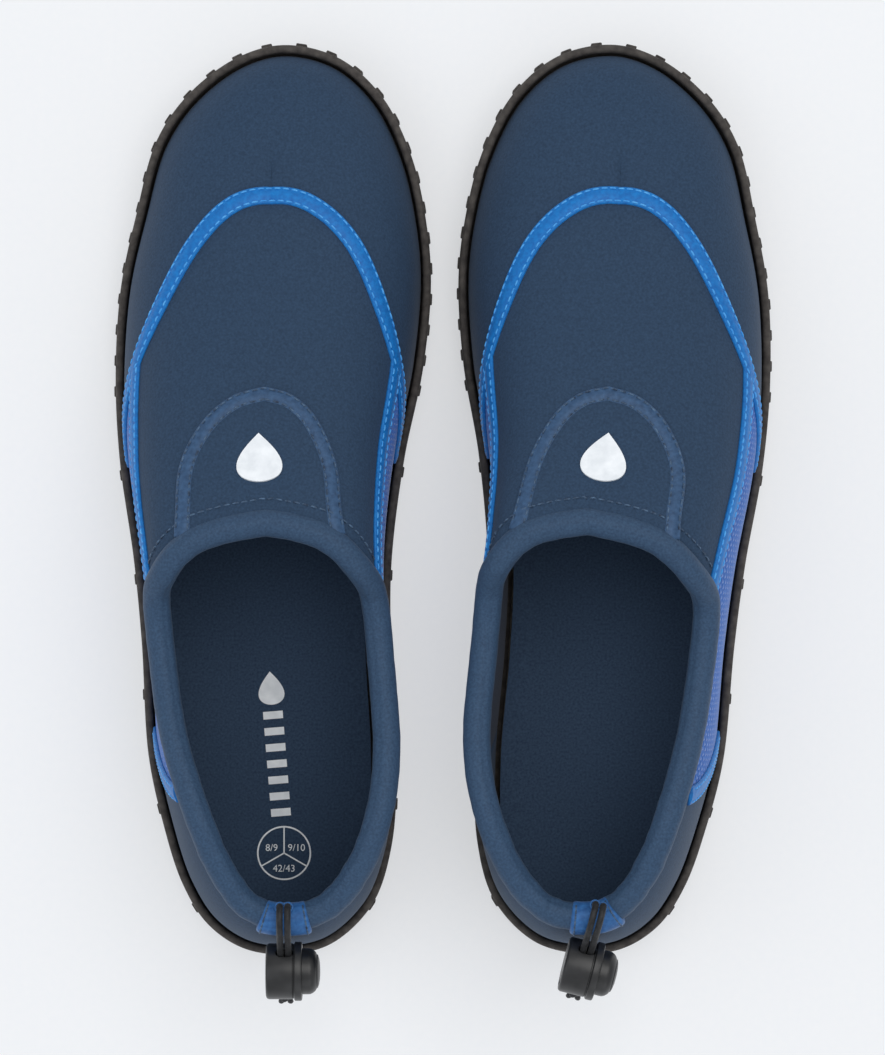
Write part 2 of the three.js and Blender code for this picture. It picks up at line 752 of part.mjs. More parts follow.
function collarRoll(lean, tabPlace) {
  const frames = collarFrames(lean, tabPlace + COLLAR_GAP, 2 - 2 * COLLAR_GAP, COLLAR_STEPS);
  return sweep(frames, circle(COLLAR_RADIUS, 8, Math.PI / 8), circle(COLLAR_BORE, 4, 0, -1));
}

function drawcord(lean, tabPlace) {
  const frames = collarFrames(lean, tabPlace + COLLAR_GAP, 2 - 2 * COLLAR_GAP, COLLAR_STEPS);
  return sweep(frames, circle(DRAWCORD_RADIUS, 4));
}

// The sleeve round the roll at the heel, with a slot in its top and front where the strands come out
// and move.
function heelTab(lean, tabPlace, exit) {
  const frames = collarFrames(lean, tabPlace - TAB_HALF, 2 * TAB_HALF, 4);
  const sleeve = sweep(frames, circle(TAB_OUTER, 14), circle(TAB_INNER, 14, 0, -1));
  const slot = boxAt([8.6, 4, 8], [exit.x, exit.y + 2.9, exit.z + 6], [-0.6, 0, 0]);
  const mouth = boxAt([8.6, 5, 9], [exit.x, exit.y + 6, exit.z + 3.5]);
  return geometryOf(manifoldOf(sleeve).subtract(manifoldOf(slot)).subtract(manifoldOf(mouth)));
}

// The strands' route beside the roll's centre, as (y, z): up out of the tab, over it and straight
// down to the lock.
const STRAND_ARCH = [[4.1, 5.2], [4.4, 7.1], [3, 9], [0.4, 9.7], [-2.6, 8.6], [-5.2, 6.2]];
const LOCK_CENTRE = [-16.2, -4.4];
const STRAND_BEYOND_LOCK = 9.3;
const KNOT_LENGTH = 3;

function strandDirection() {
  const [y, z] = STRAND_ARCH[STRAND_ARCH.length - 1];
  return new THREE.Vector2(LOCK_CENTRE[0] - y, LOCK_CENTRE[1] - z).normalize();
}

function strandRoute(side) {
  const direction = strandDirection();
  const points = STRAND_ARCH.map(([y, z]) => new THREE.Vector3((side * STRAND_PITCH) / 2, y, z));
  for (const distance of [-5, 0, 5, STRAND_BEYOND_LOCK]) {
    points.push(new THREE.Vector3((side * STRAND_PITCH) / 2,
      LOCK_CENTRE[0] + direction.x * distance, LOCK_CENTRE[1] + direction.y * distance));
  }
  return new THREE.CatmullRomCurve3(points, false, 'centripetal');
}

function strand(side) {
  const shape = new THREE.Shape(circle(STRAND_RADIUS, 8).map(([x, y]) => new THREE.Vector2(x, y)));
  const settings = { steps: 14, bevelEnabled: false, extrudePath: strandRoute(side) };
  return facingOut(geometryFromExtrude(new THREE.ExtrudeGeometry(shape, settings)));
}

function geometryFromExtrude(geometry) {
  geometry.deleteAttribute('normal');
  geometry.deleteAttribute('uv');
  return mergeVertices(geometry, 1e-4);
}

function knot() {
  const geometry = new THREE.SphereGeometry(1, 8, 6).scale(2.3, KNOT_LENGTH / 2, 1.7);
  return geometryFromExtrude(geometry);
}

// Lock pieces lie along x, the barrel's closed face at x = -CORD_HOLE_X, the cord through y.
function lockBarrel() {
  const [closed, open] = [-CORD_HOLE_X, LOCK_LENGTH - CORD_HOLE_X];
  const shell = latheX([
    [closed, 0], [closed, LOCK_RADIUS - 0.9], [closed + 0.9, LOCK_RADIUS],
    [open - 2.2, LOCK_RADIUS], [open - 2.2, LOCK_RADIUS + 0.5], [open, LOCK_RADIUS + 0.5],
    [open, LOCK_BORE], [closed + LOCK_FLOOR, LOCK_BORE], [closed + LOCK_FLOOR, 0],
  ], 18);
  const hole = boxAt([STRAND_PITCH + 2.9, 30, 3], [0, 0, 0]);
  return geometryOf(manifoldOf(shell).subtract(manifoldOf(hole)));
}

const BUTTON_TRAVEL = 2.5;

function lockButton() {
  const open = LOCK_LENGTH - CORD_HOLE_X;
  const skirtEnd = -CORD_HOLE_X + LOCK_FLOOR + BUTTON_TRAVEL + 0.4;
  const crown = open + BUTTON_PROUD;
  const cap = latheX([
    [crown, 0], [crown - 0.5, 3], [crown - 1.7, 5.8], [crown - 3, BUTTON_RADIUS],
    [skirtEnd, BUTTON_RADIUS], [skirtEnd, BUTTON_RADIUS - 1.1],
    [crown - 4, BUTTON_RADIUS - 1.1], [crown - 4, 0],
  ].reverse(), 16);
  const notchEnd = STRAND_PITCH / 2 + STRAND_RADIUS + BUTTON_TRAVEL + 0.5;
  const notch = boxAt([notchEnd + 10, 30, 3.4], [(notchEnd - 10) / 2, 0, 0]);
  return geometryOf(manifoldOf(cap).subtract(manifoldOf(notch)));
}

// The spring winds once below the strands, climbs past them on one side and winds on above.
function lockSpring() {
  const radius = 4.9;
  const wire = 0.35;
  const bottom = -CORD_HOLE_X + LOCK_FLOOR + wire + 0.3;
  const low = -STRAND_PITCH / 2 - STRAND_RADIUS - wire - 0.4;
  const high = STRAND_PITCH / 2 + STRAND_RADIUS + wire + 0.4;
  const climb = (turn) => {
    if (turn < 1.1) {
      return bottom + ((low - bottom) * turn) / 1.1;
    }
    if (turn < 1.4) {
      return low + ((high - low) * (turn - 1.1)) / 0.3;
    }
    return high + 0.9 * (turn - 1.4);
  };
  const points = [];
  for (let turn = 0; turn <= 2.001; turn += 0.1) {
    const angle = 2 * Math.PI * turn;
    points.push(new THREE.Vector3(climb(turn), radius * Math.cos(angle), radius * Math.sin(angle)));
  }
  const shape = new THREE.Shape(circle(wire, 4).map(([x, y]) => new THREE.Vector2(x, y)));
  const path = new THREE.CatmullRomCurve3(points);
  const settings = { steps: 26, bevelEnabled: false, extrudePath: path };
  return facingOut(geometryFromExtrude(new THREE.ExtrudeGeometry(shape, settings)));
}

// ---------------------------------------------------------------- the pair

const BOARD_LOW = FLOOR_TOP + 0.3;
const BOARD_HIGH = BOARD_LOW + 1.2;
const FOAM_HIGH = BOARD_HIGH + 0.3 + 4;
const COVER_HIGH = FOAM_HIGH + 0.3 + 0.9;

function piece(name, geometry, look) {
  const mesh = new THREE.Mesh(geometry, new THREE.MeshStandardMaterial(COLOURS[look]));
  mesh.name = name;
  return mesh;
}

function shoe(prefix, { lean, tabPlace, cordYaw, buttonSide }) {
  const group = new THREE.Group();
  const add = (name, geometry, look) => group.add(piece(`${prefix}_${name}`, geometry, look));
  add('outsole', outsoleGeometry(), 'rubber');
  add('lasting_board', footPlate(7.8, BOARD_LOW, BOARD_HIGH, 18), 'board');
  add('insole_foam', footPlate(9, BOARD_HIGH + 0.3, FOAM_HIGH, 18), 'foam');
  add('insole_cover', footPlate(9, FOAM_HIGH + 0.3, COVER_HIGH, 18), 'insole');
  add('toe_panel', toePanel(lean), 'neoprene');
  add('instep_panel', instepPanel(lean), 'neoprene');
  add('heel_panel', heelPanel(lean), 'neoprene');
  for (const [label, side] of [['inner', 1], ['outer', -1]]) {
    add(`mesh_panel_${label}`, meshPanel(lean, side), 'meshFabric');
    add(`mesh_lining_${label}`, meshLining(lean, side), 'lining');
    add(`top_trim_${label}`, topTrim(lean, side), 'tape');
    add(`heel_trim_${label}`, heelTrim(lean, side), 'tape');
  }
  add('arc_trim', arcTrim(lean), 'tape');
  add('cap_trim', capTrim(lean), 'navyTape');
  add('instep_patch', instepPatch(lean), 'neoprene');
  add('badge', badgeGeometry(lean), 'print');
  add('collar_binding', collarRoll(lean, tabPlace), 'binding');
  add('drawcord', drawcord(lean, tabPlace), 'cord');
  const exit = collarPoint(lean, tabPlace).centre;
  add('heel_tab', heelTab(lean, tabPlace, exit), 'tape');

  const cord = new THREE.Group();
  cord.position.copy(exit);
  cord.rotation.z = radians(cordYaw);
  cord.add(piece(`${prefix}_cord_strand_a`, strand(-1), 'cord'));
  cord.add(piece(`${prefix}_cord_strand_b`, strand(1), 'cord'));
  const direction = strandDirection();
  const lock = new THREE.Group();
  lock.position.set(0, LOCK_CENTRE[0], LOCK_CENTRE[1]);
  lock.rotation.x = Math.atan2(direction.y, direction.x);
  const end = piece(`${prefix}_cord_knot`, knot(), 'cord');
  end.position.y = STRAND_BEYOND_LOCK + 0.3 + KNOT_LENGTH / 2;
  const body = new THREE.Group();
  body.scale.x = buttonSide;
  body.add(piece(`${prefix}_lock_barrel`, lockBarrel(), 'plastic'));
  body.add(piece(`${prefix}_lock_button`, lockButton(), 'plastic'));
  body.add(piece(`${prefix}_lock_spring`, lockSpring(), 'steel'));
  lock.add(end, body);
  cord.add(lock);
  group.add(cord);
  return group;
}

const left = shoe('left', { lean: -1, tabPlace: -0.006, cordYaw: 0, buttonSide: 1 });
left.position.set(-SHOE_SPACING / 2, -SHOE_LENGTH / 2, 0);

const right = shoe('right', { lean: 1, tabPlace: -0.025, cordYaw: 12, buttonSide: -1 });
right.position.y = -PIVOT_Y;
right.scale.x = -1;
const turned = new THREE.Group();
turned.add(right);
turned.rotation.z = radians(RIGHT_SHOE_TURN);
turned.position.set(SHOE_SPACING / 2, PIVOT_Y - SHOE_LENGTH / 2, 0);

// The pair's frame has its origin under the middle of the two soles.
const assembly = new THREE.Group();
assembly.add(left, turned);
assembly.updateMatrixWorld(true);
const footprint = new THREE.Box3();
for (const prefix of ['left', 'right']) {
  footprint.expandByObject(assembly.getObjectByName(`${prefix}_outsole`), true);
}
const middle = footprint.getCenter(new THREE.Vector3());
assembly.position.set(-middle.x, -middle.y, 0);

export default assembly;
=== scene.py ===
"""Looks of a pair of low slip-on neoprene water shoes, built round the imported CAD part.

Lengths are in millimetres until the points are placed, and in metres in the scene. Each shoe is
drawn in its own frame: x from the outer side (-) to the inner side (+) of a left shoe, y forward
from the back of the heel, z up. The right shoe is the same drawing mirrored and turned a little.
"""

import math

import bmesh
import bpy
import numpy as np
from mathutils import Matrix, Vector


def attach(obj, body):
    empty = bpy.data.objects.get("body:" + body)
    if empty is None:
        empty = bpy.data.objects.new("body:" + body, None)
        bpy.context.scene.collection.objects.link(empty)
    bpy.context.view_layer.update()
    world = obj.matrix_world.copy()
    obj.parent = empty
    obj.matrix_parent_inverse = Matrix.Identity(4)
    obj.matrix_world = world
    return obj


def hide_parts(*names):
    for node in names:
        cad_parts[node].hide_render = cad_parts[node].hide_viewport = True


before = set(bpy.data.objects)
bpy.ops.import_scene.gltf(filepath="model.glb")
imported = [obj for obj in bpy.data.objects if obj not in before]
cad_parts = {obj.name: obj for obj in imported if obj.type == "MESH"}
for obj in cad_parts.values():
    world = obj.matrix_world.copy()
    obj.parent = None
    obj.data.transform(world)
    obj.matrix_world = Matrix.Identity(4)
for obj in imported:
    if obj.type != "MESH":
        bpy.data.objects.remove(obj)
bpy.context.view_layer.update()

# ------------------------------------------------------------------ dimensions of a shoe

SHOE_LENGTH = 285
SHOE_SPACING = 107.2
RIGHT_SHOE_TURN = math.radians(-2.1)
PIVOT_Y = 172
PAIR_SHIFT = (-0.2269, -0.5784)  # puts the middle of the two soles over the origin

UPPER_INSET = 3.4
UPPER_START = 8.6
TOE_SPRING = 6
TOE_SPRING_START = 210
NEOPRENE = 3
PUFF = 0.45  # how far the cloth swells between its seams
COLLAR_RADIUS = 4.2
COLLAR_SINK = 1.5
TAPE_WIDTH = 5.8
CAP_WIDTH = 5
RIM_TOP_SIDE, RIM_TOP_HEEL, RIM_TOP_TOE = 13.5, 18, 20
BOARD_HIGH = 9.5
FOAM_HIGH = 13.8
COVER_HIGH = 15

OUTLINE = [
    (4, 0), (18.5, 3.2), (31.5, 15.5), (37.5, 33), (39.2, 60), (37.5, 95), (37.5, 122),
    (41.5, 155), (47.5, 184), (50, 210), (48.8, 228), (44, 250), (34.6, 269), (21, 281),
    (4, 285), (-10.8, 281), (-26, 269.5), (-36, 255), (-42.5, 232), (-47.5, 209),
    (-49.2, 182), (-47.9, 155), (-43.5, 124), (-41, 98), (-38.8, 62), (-34.2, 41),
    (-27.9, 22), (-20, 9.5), (-9, 2),
]
TOE_POINT = 14
RIDGE = [
    (-20, 95), (40, 93), (70, 87), (95, 82), (115, 80), (134, 78), (150, 71.5), (180, 60),
    (200, 53), (230, 45.5), (245, 42), (260, 38.5), (290, 33),
]
SQUARENESS = [
    (-5, 2.4), (12, 2.5), (37, 3.3), (58, 4.2), (80, 5.3), (110, 5.8), (134, 4.4), (165, 3.1),
    (205, 2.45), (290, 2.3),
]
INNER_SHIFT = [
    (0, 3), (37, 4), (65, 5.4), (90, 5), (110, 4.2), (134, 2.6), (165, 0.8), (190, 0), (290, 0),
]

# Seams as (station, angle): station 0 at the heel to 1 at the toe, angle 0 at the sole to 90 on
# the ridge line.
ARC_SEAM = [
    (0.53, 5), (0.55, 13), (0.575, 22), (0.605, 30.5), (0.625, 35), (0.69, 46.5),
    (0.767, 57.5), (0.833, 71), (0.9, 90),
]
SPLIT = 4
COLLAR_LINE = [
    (0, 38), (0.046, 38), (0.09, 39.5), (0.147, 40.5), (0.226, 39), (0.3, 37), (0.35, 36.2),
    (0.394, 38), (0.418, 48), (0.429, 60), (0.421, 74), (0.402, 90),
]
COLLAR_CORNER = (0.404, 42)
CAP_SEAM = [(0.459, 58.7), (0.503, 61), (0.547, 68.5), (0.577, 79), (0.588, 90)]
HEEL_SEAM = [(0.277, 0), (0.217, 33)]

STRAND_RADIUS = 1
STRAND_PITCH = 2.4
STRAND_ARCH = [(4.1, 5.2), (4.4, 7.1), (3, 9), (0.4, 9.7), (-2.6, 8.6), (-5.2, 6.2)]
LOCK_CENTRE = (-16.2, -4.4)
STRAND_BEYOND_LOCK = 9.3

SHOES = [
    {"name": "left", "mirrored": False, "lean": -1, "tab": -0.006, "yaw": 0, "button": 1},
    {"name": "right", "mirrored": True, "lean": 1, "tab": -0.025, "yaw": 12, "button": -1},
]

# ------------------------------------------------------------------ curves


def smoothstep(low, high, value):
    s = np.clip((np.asarray(value, float) - low) / (high - low), 0, 1)
    return s * s * (3 - 2 * s)


def smooth_table(rows):
    """Monotone cubic through a table of (x, value) rows."""
    xs, ys = np.array(rows, float).T
    slopes = np.diff(ys) / np.diff(xs)
    product = slopes[:-1] * slopes[1:]
    total = np.where(product > 0, slopes[:-1] + slopes[1:], 1)
    middle = np.where(product > 0, 2 * product / total, 0)
    tangents = np.concatenate([slopes[:1], middle, slopes[-1:]])

    def value(x):
        x = np.asarray(x, float)
        i = np.clip(np.searchsorted(xs, x, side="left") - 1, 0, len(xs) - 2)
        width = xs[i + 1] - xs[i]
        s = np.clip((x - xs[i]) / width, 0, 1)
        rise = s * s * (3 - 2 * s)
        swing = width * s * (1 - s) * (tangents[i] * (1 - s) - tangents[i + 1] * s)
        return ys[i] * (1 - rise) + ys[i + 1] * rise + swing

    return value


def catmull(points, closed, samples):
    """Dense points on the centripetal Catmull-Rom curve through the given ones."""
    points = np.asarray(points, float)
    if closed:
        padded = np.vstack([points[-1:], points, points[:2]])
    else:
        padded = np.vstack([2 * points[:1] - points[1:2], points, 2 * points[-1:] - points[-2:-1]])
    s = np.linspace(0, 1, samples, endpoint=False)[:, None]
    pieces = []
    for i in range(len(padded) - 3):
        p0, p1, p2, p3 = padded[i : i + 4]
        d0, d1, d2 = (np.linalg.norm(b - a) ** 0.5 for a, b in ((p0, p1), (p1, p2), (p2, p3)))
        t1 = ((p1 - p0) / d0 - (p2 - p0) / (d0 + d1) + (p2 - p1) / d1) * d1
        t2 = ((p2 - p1) / d1 - (p3 - p1) / (d1 + d2) + (p3 - p2) / d2) * d1
        cubic = (2 * (p1 - p2) + t1 + t2) * s**3 + (3 * (p2 - p1) - 2 * t1 - t2) * s**2
        pieces.append(p1 + t1 * s + cubic)
    pieces.append(padded[-2:-1])
    return np.vstack(pieces)


def unit(vectors):
    return vectors / np.linalg.norm(vectors, axis=-1, keepdims=True)


def full_turn(count):
    """Angles evenly spaced once round."""
    return np.linspace(0, 2 * np.pi, count, endpoint=False)


def running_length(points):
    steps = np.linalg.norm(np.diff(points, axis=0), axis=-1)
    return np.concatenate([[0], np.cumsum(steps)])


def resample(points, lengths, at):
    return np.stack([np.interp(at, lengths, column) for column in np.asarray(points).T], -1)


def seam_line(rows):
    """A smooth line through seam points, as a function of 0 to 1."""
    dense = catmull([(a * 100, b) for a, b in rows], False, 24)
    lengths = running_length(dense)

    def line(s):
        at = resample(dense, lengths, np.clip(s, 0, 1) * lengths[-1])
        return at[..., 0] / 100, at[..., 1]

    return line


def crossing_line(half):
    """A seam over the vamp, from the inner side to the outer side."""
    line = seam_line(half)

    def crossing(s):
        s = np.asarray(s, float)
        station, angle = line(np.where(s <= 0.5, s * 2, 2 - s * 2))
        return station, np.where(s <= 0.5, angle, 180 - angle)

    return crossing


def straight_line(a, b):
    return lambda s: (a[0] + (b[0] - a[0]) * np.asarray(s), a[1] + (b[1] - a[1]) * np.asarray(s))


# ------------------------------------------------------------------ the upper's surface

ridge_height = smooth_table(RIDGE)
squareness = smooth_table(SQUARENESS)
inner_shift = smooth_table(INNER_SHIFT)
arc_angle = smooth_table(ARC_SEAM)
collar_angle = smooth_table(COLLAR_LINE[:9])
collar_line = crossing_line(COLLAR_LINE)
throat_line = crossing_line([COLLAR_CORNER, *COLLAR_LINE[8:]])

outline_samples = catmull(OUTLINE, True, 40)
inner_points = outline_samples[: TOE_POINT * 40 + 1]
outer_points = outline_samples[TOE_POINT * 40 :][::-1]
inner_lengths = running_length(inner_points)
outer_lengths = running_length(outer_points)


def outline_at(side, station):
    """Point on the sole's outline, seen from above."""
    side, station = np.broadcast_arrays(np.asarray(side, float), np.asarray(station, float))
    inner = resample(inner_points, inner_lengths / inner_lengths[-1], station)
    outer = resample(outer_points, outer_lengths / outer_lengths[-1], station)
    return np.where((side > 0)[..., None], inner, outer)


def outward(side, station):
    step = 0.001
    along = outline_at(side, np.clip(station + step, 0, 1))
    along = along - outline_at(side, np.clip(station - step, 0, 1))
    along = unit(along)
    normal = np.stack([along[..., 1] * side, -along[..., 0] * side], -1)
    ends = np.stack([np.zeros_like(station), np.where(station < 0.5, -1.0, 1.0)], -1)
    at_end = (station < step) | (station > 1 - step)
    return np.where(at_end[..., None], ends, normal)


def inset_at(side, station, distance):
    """The outline moved in by a distance."""
    side, station = np.broadcast_arrays(np.asarray(side, float), np.asarray(station, float))
    distance = np.asarray(distance, float)
    return outline_at(side, station) - outward(side, station) * distance[..., None]


def spring_at(y):
    past = np.maximum(0, np.asarray(y, float) - TOE_SPRING_START)
    return TOE_SPRING * (past / (SHOE_LENGTH - TOE_SPRING_START)) ** 2


def shared_y(station):
    return (outline_at(1, station)[..., 1] + outline_at(-1, station)[..., 1]) / 2


def wrapped(side, station, angle):
    """Folds a station past the heel or toe, or an angle past the ridge, onto the other side."""
    side, station, angle = np.broadcast_arrays(*(np.asarray(v, float) for v in (side, station, angle)))
    over = angle > 90
    side, angle = np.where(over, -side, side), np.where(over, 180 - angle, angle)
    over = (station < 0) | (station > 1)
    side = np.where(over, -side, side)
    return side, np.where(station > 1, 2 - station, np.abs(station)), angle


def surface_point(lean, side, station, angle):
    """Point on the upper's outer face. side is +1 inner and -1 outer."""
    side, station, angle = wrapped(side, station, angle)
    foot = inset_at(side, station, UPPER_INSET)
    middle_y = shared_y(station)
    spine = np.stack([np.ones_like(middle_y), 65 + 0.6316 * middle_y], -1)
    power = squareness(foot[..., 1])
    across = np.maximum(0, np.cos(np.radians(angle)))
    up = np.maximum(0, np.sin(np.radians(angle)))
    reach = (across**power + up**power) ** (-1 / power)
    plan = spine + (foot - spine) * (across * reach)[..., None]
    y = plan[..., 1]
    start = UPPER_START + spring_at(middle_y)
    z = UPPER_START + spring_at(y) + (ridge_height(y) - start) * up * reach
    x = plan[..., 0] + inner_shift(y) * (np.maximum(0, z - 12) / 50) ** 1.3
    x = x + lean * 3.6 * (np.maximum(0, z - 25) / 50) ** 2 * smoothstep(20, 110, y)
    return np.stack([x, y, z], -1)


def surface_normal(lean, side, station, angle):
    side, station, angle = wrapped(side, station, angle)
    along = surface_point(lean, side, station + 0.004, angle)
    along = along - surface_point(lean, side, station - 0.004, angle)
    climb = surface_point(lean, side, station, angle + 0.8)
    climb = climb - surface_point(lean, side, station, np.maximum(0, angle - 0.8))
    normal = np.cross(along, climb)
    return unit(normal) * side[..., None]


# Charts turn two numbers into a side, a station and an angle. The first crosses the ridge line,
# the second runs round the toe and the third round the heel.
def over_ridge(station, angle):
    return 1, station, angle


def round_toe(place, angle):
    return np.where(np.asarray(place) >= 0, 1, -1), 1 - np.abs(place), angle


def round_heel(place, angle):
    return np.where(np.asarray(place) >= 0, 1, -1), np.abs(place), angle


def lifted(shoe, chart, a, b, lift):
    at = chart(np.asarray(a, float), np.asarray(b, float))
    normal = surface_normal(shoe["lean"], *at)
    return surface_point(shoe["lean"], *at) + normal * np.asarray(lift, float)[..., None]


def moved_line(shoe, chart, line, distance):
    """The line moved to the left of its direction on the surface."""

    def moved(s):
        s = np.asarray(s, float)
        a, b = line(s)

        def at(p, q):
            return surface_point(shoe["lean"], *chart(p, q))

        along = at(*line(np.clip(s + 0.005, 0, 1))) - at(*line(np.clip(s - 0.005, 0, 1)))
        along = unit(along)
        normal = surface_normal(shoe["lean"], *chart(a, b))
        aside = np.cross(normal, along) * np.asarray(distance, float)[..., None]
        by_a = (at(a + 0.002, b) - at(a - 0.002, b)) / 0.004
        by_b = (at(a, b + 0.4) - at(a, b - 0.4)) / 0.8
        aa, ab, bb = (np.sum(p * q, -1) for p, q in ((by_a, by_a), (by_a, by_b), (by_b, by_b)))
        pa, pb = np.sum(aside * by_a, -1), np.sum(aside * by_b, -1)
        det = aa * bb - ab * ab
        return a + (pa * bb - pb * ab) / det, b + (pb * aa - pa * ab) / det

    return moved


def to_world(shoe, points):
    """Places points of a shoe's own frame in the scene, in metres."""
    x, y, z = np.moveaxis(np.asarray(points, float), -1, 0)
    if shoe["mirrored"]:
        across, along = -x, y - PIVOT_Y
        turn_cos, turn_sin = math.cos(RIGHT_SHOE_TURN), math.sin(RIGHT_SHOE_TURN)
        x = SHOE_SPACING / 2 + across * turn_cos - along * turn_sin
        y = PIVOT_Y - SHOE_LENGTH / 2 + across * turn_sin + along * turn_cos
    else:
        x, y = x - SHOE_SPACING / 2, y - SHOE_LENGTH / 2
    return np.stack([x + PAIR_SHIFT[0], y + PAIR_SHIFT[1], z], -1) / 1000


# ------------------------------------------------------------------ materials


def linear(red, green, blue):
    """A colour given as 0 to 255 display values, as linear light."""
    values = np.array([red, green, blue]) / 255
    light = np.where(values <= 0.04045, values / 12.92, ((values + 0.055) / 1.055) ** 2.4)
    return (*light.tolist(), 1.0)


class Look:
    """A material built from nodes, with its texture space in metres."""

    def __init__(self, name, roughness, **settings):
        self.material = bpy.data.materials.new(name)
        self.material.use_nodes = True
        self.tree = self.material.node_tree
        self.shader = self.tree.nodes["Principled BSDF"]
        self.shader.inputs["Roughness"].default_value = roughness
        for key, value in settings.items():
            self.shader.inputs[key.replace("_", " ")].default_value = value
        self.place = self.tree.nodes.new("ShaderNodeTexCoord").outputs["Object"]
        self.bump = None

    def node(self, kind, inputs=(), **properties):
        node = self.tree.nodes.new(kind)
        for key, value in properties.items():
            setattr(node, key, value)
        for key, value in dict(inputs).items():
            if isinstance(value, bpy.types.NodeSocket):
                self.tree.links.new(value, node.inputs[key])
            else:
                node.inputs[key].default_value = value
        return node

    def noise(self, scale, detail=2.0):
        inputs = {"Vector": self.place, "Scale": scale, "Detail": detail}
        return self.node("ShaderNodeTexNoise", inputs).outputs["Fac"]

    def stretched(self, scales):
        inputs = {"Vector": self.place, "Scale": scales}
        return self.node("ShaderNodeMapping", inputs).outputs["Vector"]

    def cells(self, scale, vector=None):
        inputs = {"Vector": vector or self.place, "Scale": scale}
        return self.node("ShaderNodeTexVoronoi", inputs).outputs["Distance"]

    def colours(self, value, low, high, dark, light):
        ramp = self.node("ShaderNodeValToRGB", {"Fac": value})
        ramp.color_ramp.elements[0].position = low
        ramp.color_ramp.elements[1].position = high
        ramp.color_ramp.elements[0].color = linear(*dark)
        ramp.color_ramp.elements[1].color = linear(*light)
        self.tree.links.new(ramp.outputs["Color"], self.shader.inputs["Base Color"])
        return self

    def relief(self, height, depth, strength=1.0):
        inputs = {"Height": height, "Distance": depth / 1000, "Strength": strength}
        if self.bump is not None:
            inputs["Normal"] = self.bump
        self.bump = self.node("ShaderNodeBump", inputs).outputs["Normal"]
        self.tree.links.new(self.bump, self.shader.inputs["Normal"])
        return self

    def roughness(self, value, low, high):
        inputs = {"Value": value, "To Min": low, "To Max": high}
        remap = self.node("ShaderNodeMapRange", inputs).outputs["Result"]
        self.tree.links.new(remap, self.shader.inputs["Roughness"])
        return self


def knit(name, dark, light, roughness, sheen=0.15):
    """Fine jersey bonded to neoprene: tiny loops, with a slight heather."""
    look = Look(name, roughness, Sheen_Weight=sheen, Specular_IOR_Level=0.25)
    look.shader.inputs["Sheen Roughness"].default_value = 0.5
    look.colours(look.noise(1400, 3), 0.3, 0.72, dark, light)
    look.relief(look.cells(1, look.stretched((1500, 900, 1200))), 0.12, 0.35)
    look.relief(look.noise(90, 2), 0.25, 0.25)
    return look.material


def woven_tape(name, dark, light):
    """Satin ribbon: ribs across the width, with a soft shine."""
    look = Look(name, 0.5, Sheen_Weight=0.08, Specular_IOR_Level=0.3)
    look.colours(look.noise(700, 3), 0.3, 0.75, dark, light)
    look.relief(look.cells(1, look.stretched((900, 1700, 1300))), 0.1, 0.5)
    return look.material


def smooth_plastic(name, dark, light, roughness):
    look = Look(name, roughness, Specular_IOR_Level=0.5)
    look.colours(look.noise(260, 3), 0.35, 0.7, dark, light)
    look.relief(look.noise(1800, 2), 0.02, 0.4)
    return look.material


def rubber_look(name, dark, light):
    look = Look(name, 0.78, Specular_IOR_Level=0.35)
    look.colours(look.noise(420, 4), 0.3, 0.75, dark, light)
    look.relief(look.noise(2200, 3), 0.06, 0.5)
    look.roughness(look.noise(150, 2), 0.7, 0.88)
    return look.material


def floor_with_painted_glow(name, dark, light):
    """A pale floor with painted light: it glows softly, which brightens it and lifts its shadows."""
    # Painted light: the emission makes the floor glow and fills in the shade cast on it.
    look = Look(name, 0.8, Emission_Strength=0.52)
    look.shader.inputs["Emission Color"].default_value = (0.975, 0.985, 1.0, 1.0)
    look.colours(look.noise(420, 4), 0.3, 0.75, dark, light)
    return look.material


LOOKS = {
    "neoprene": knit("navy_jersey", (34, 54, 77), (46, 69, 95), 0.78, 0.04),
    "insole": knit("insole_jersey", (42, 58, 80), (58, 77, 100), 0.92, 0.05),
    "binding": knit("binding_jersey", (40, 62, 88), (54, 80, 108), 0.62, 0.05),
    "mesh": knit("blue_mesh", (46, 92, 168), (66, 116, 192), 0.62, 0.2),
    "lining": knit("dark_lining", (26, 36, 54), (38, 50, 72), 0.95, 0.05),
    "blue_tape": woven_tape("blue_ribbon", (0, 96, 170), (6, 120, 196)),
    "blue_thread": woven_tape("blue_thread", (44, 138, 216), (92, 176, 236)),
    "navy_tape": woven_tape("navy_ribbon", (38, 66, 98), (56, 88, 124)),
    "navy_thread": woven_tape("navy_thread", (28, 44, 66), (84, 112, 142)),
    "tab": woven_tape("tab_satin", (30, 80, 136), (52, 108, 168)),
    "print": smooth_plastic("pale_print", (226, 230, 234), (244, 247, 250), 0.5),
    "rubber": rubber_look("black_rubber", (52, 48, 46), (84, 79, 75)),
    "cord": woven_tape("black_cord", (16, 17, 19), (40, 41, 44)),
    "plastic": smooth_plastic("black_plastic", (22, 22, 23), (34, 34, 35), 0.36),
    "board": smooth_plastic("grey_board", (120, 114, 104), (146, 139, 128), 0.9),
    "foam": smooth_plastic("dark_foam", (38, 44, 52), (50, 56, 64), 0.9),
    "floor": floor_with_painted_glow("pale_floor", (162, 164, 167), (165, 166, 168)),
}
steel = Look("spring_steel", 0.3, Metallic=1.0)
steel.colours(steel.noise(500), 0.3, 0.7, (176, 180, 184), (206, 209, 212))
LOOKS["steel"] = steel.material

# ------------------------------------------------------------------ pieces


def placed(name, data):
    """A new object in the scene."""
    made = bpy.data.objects.new(name, data)
    bpy.context.scene.collection.objects.link(made)
    return made


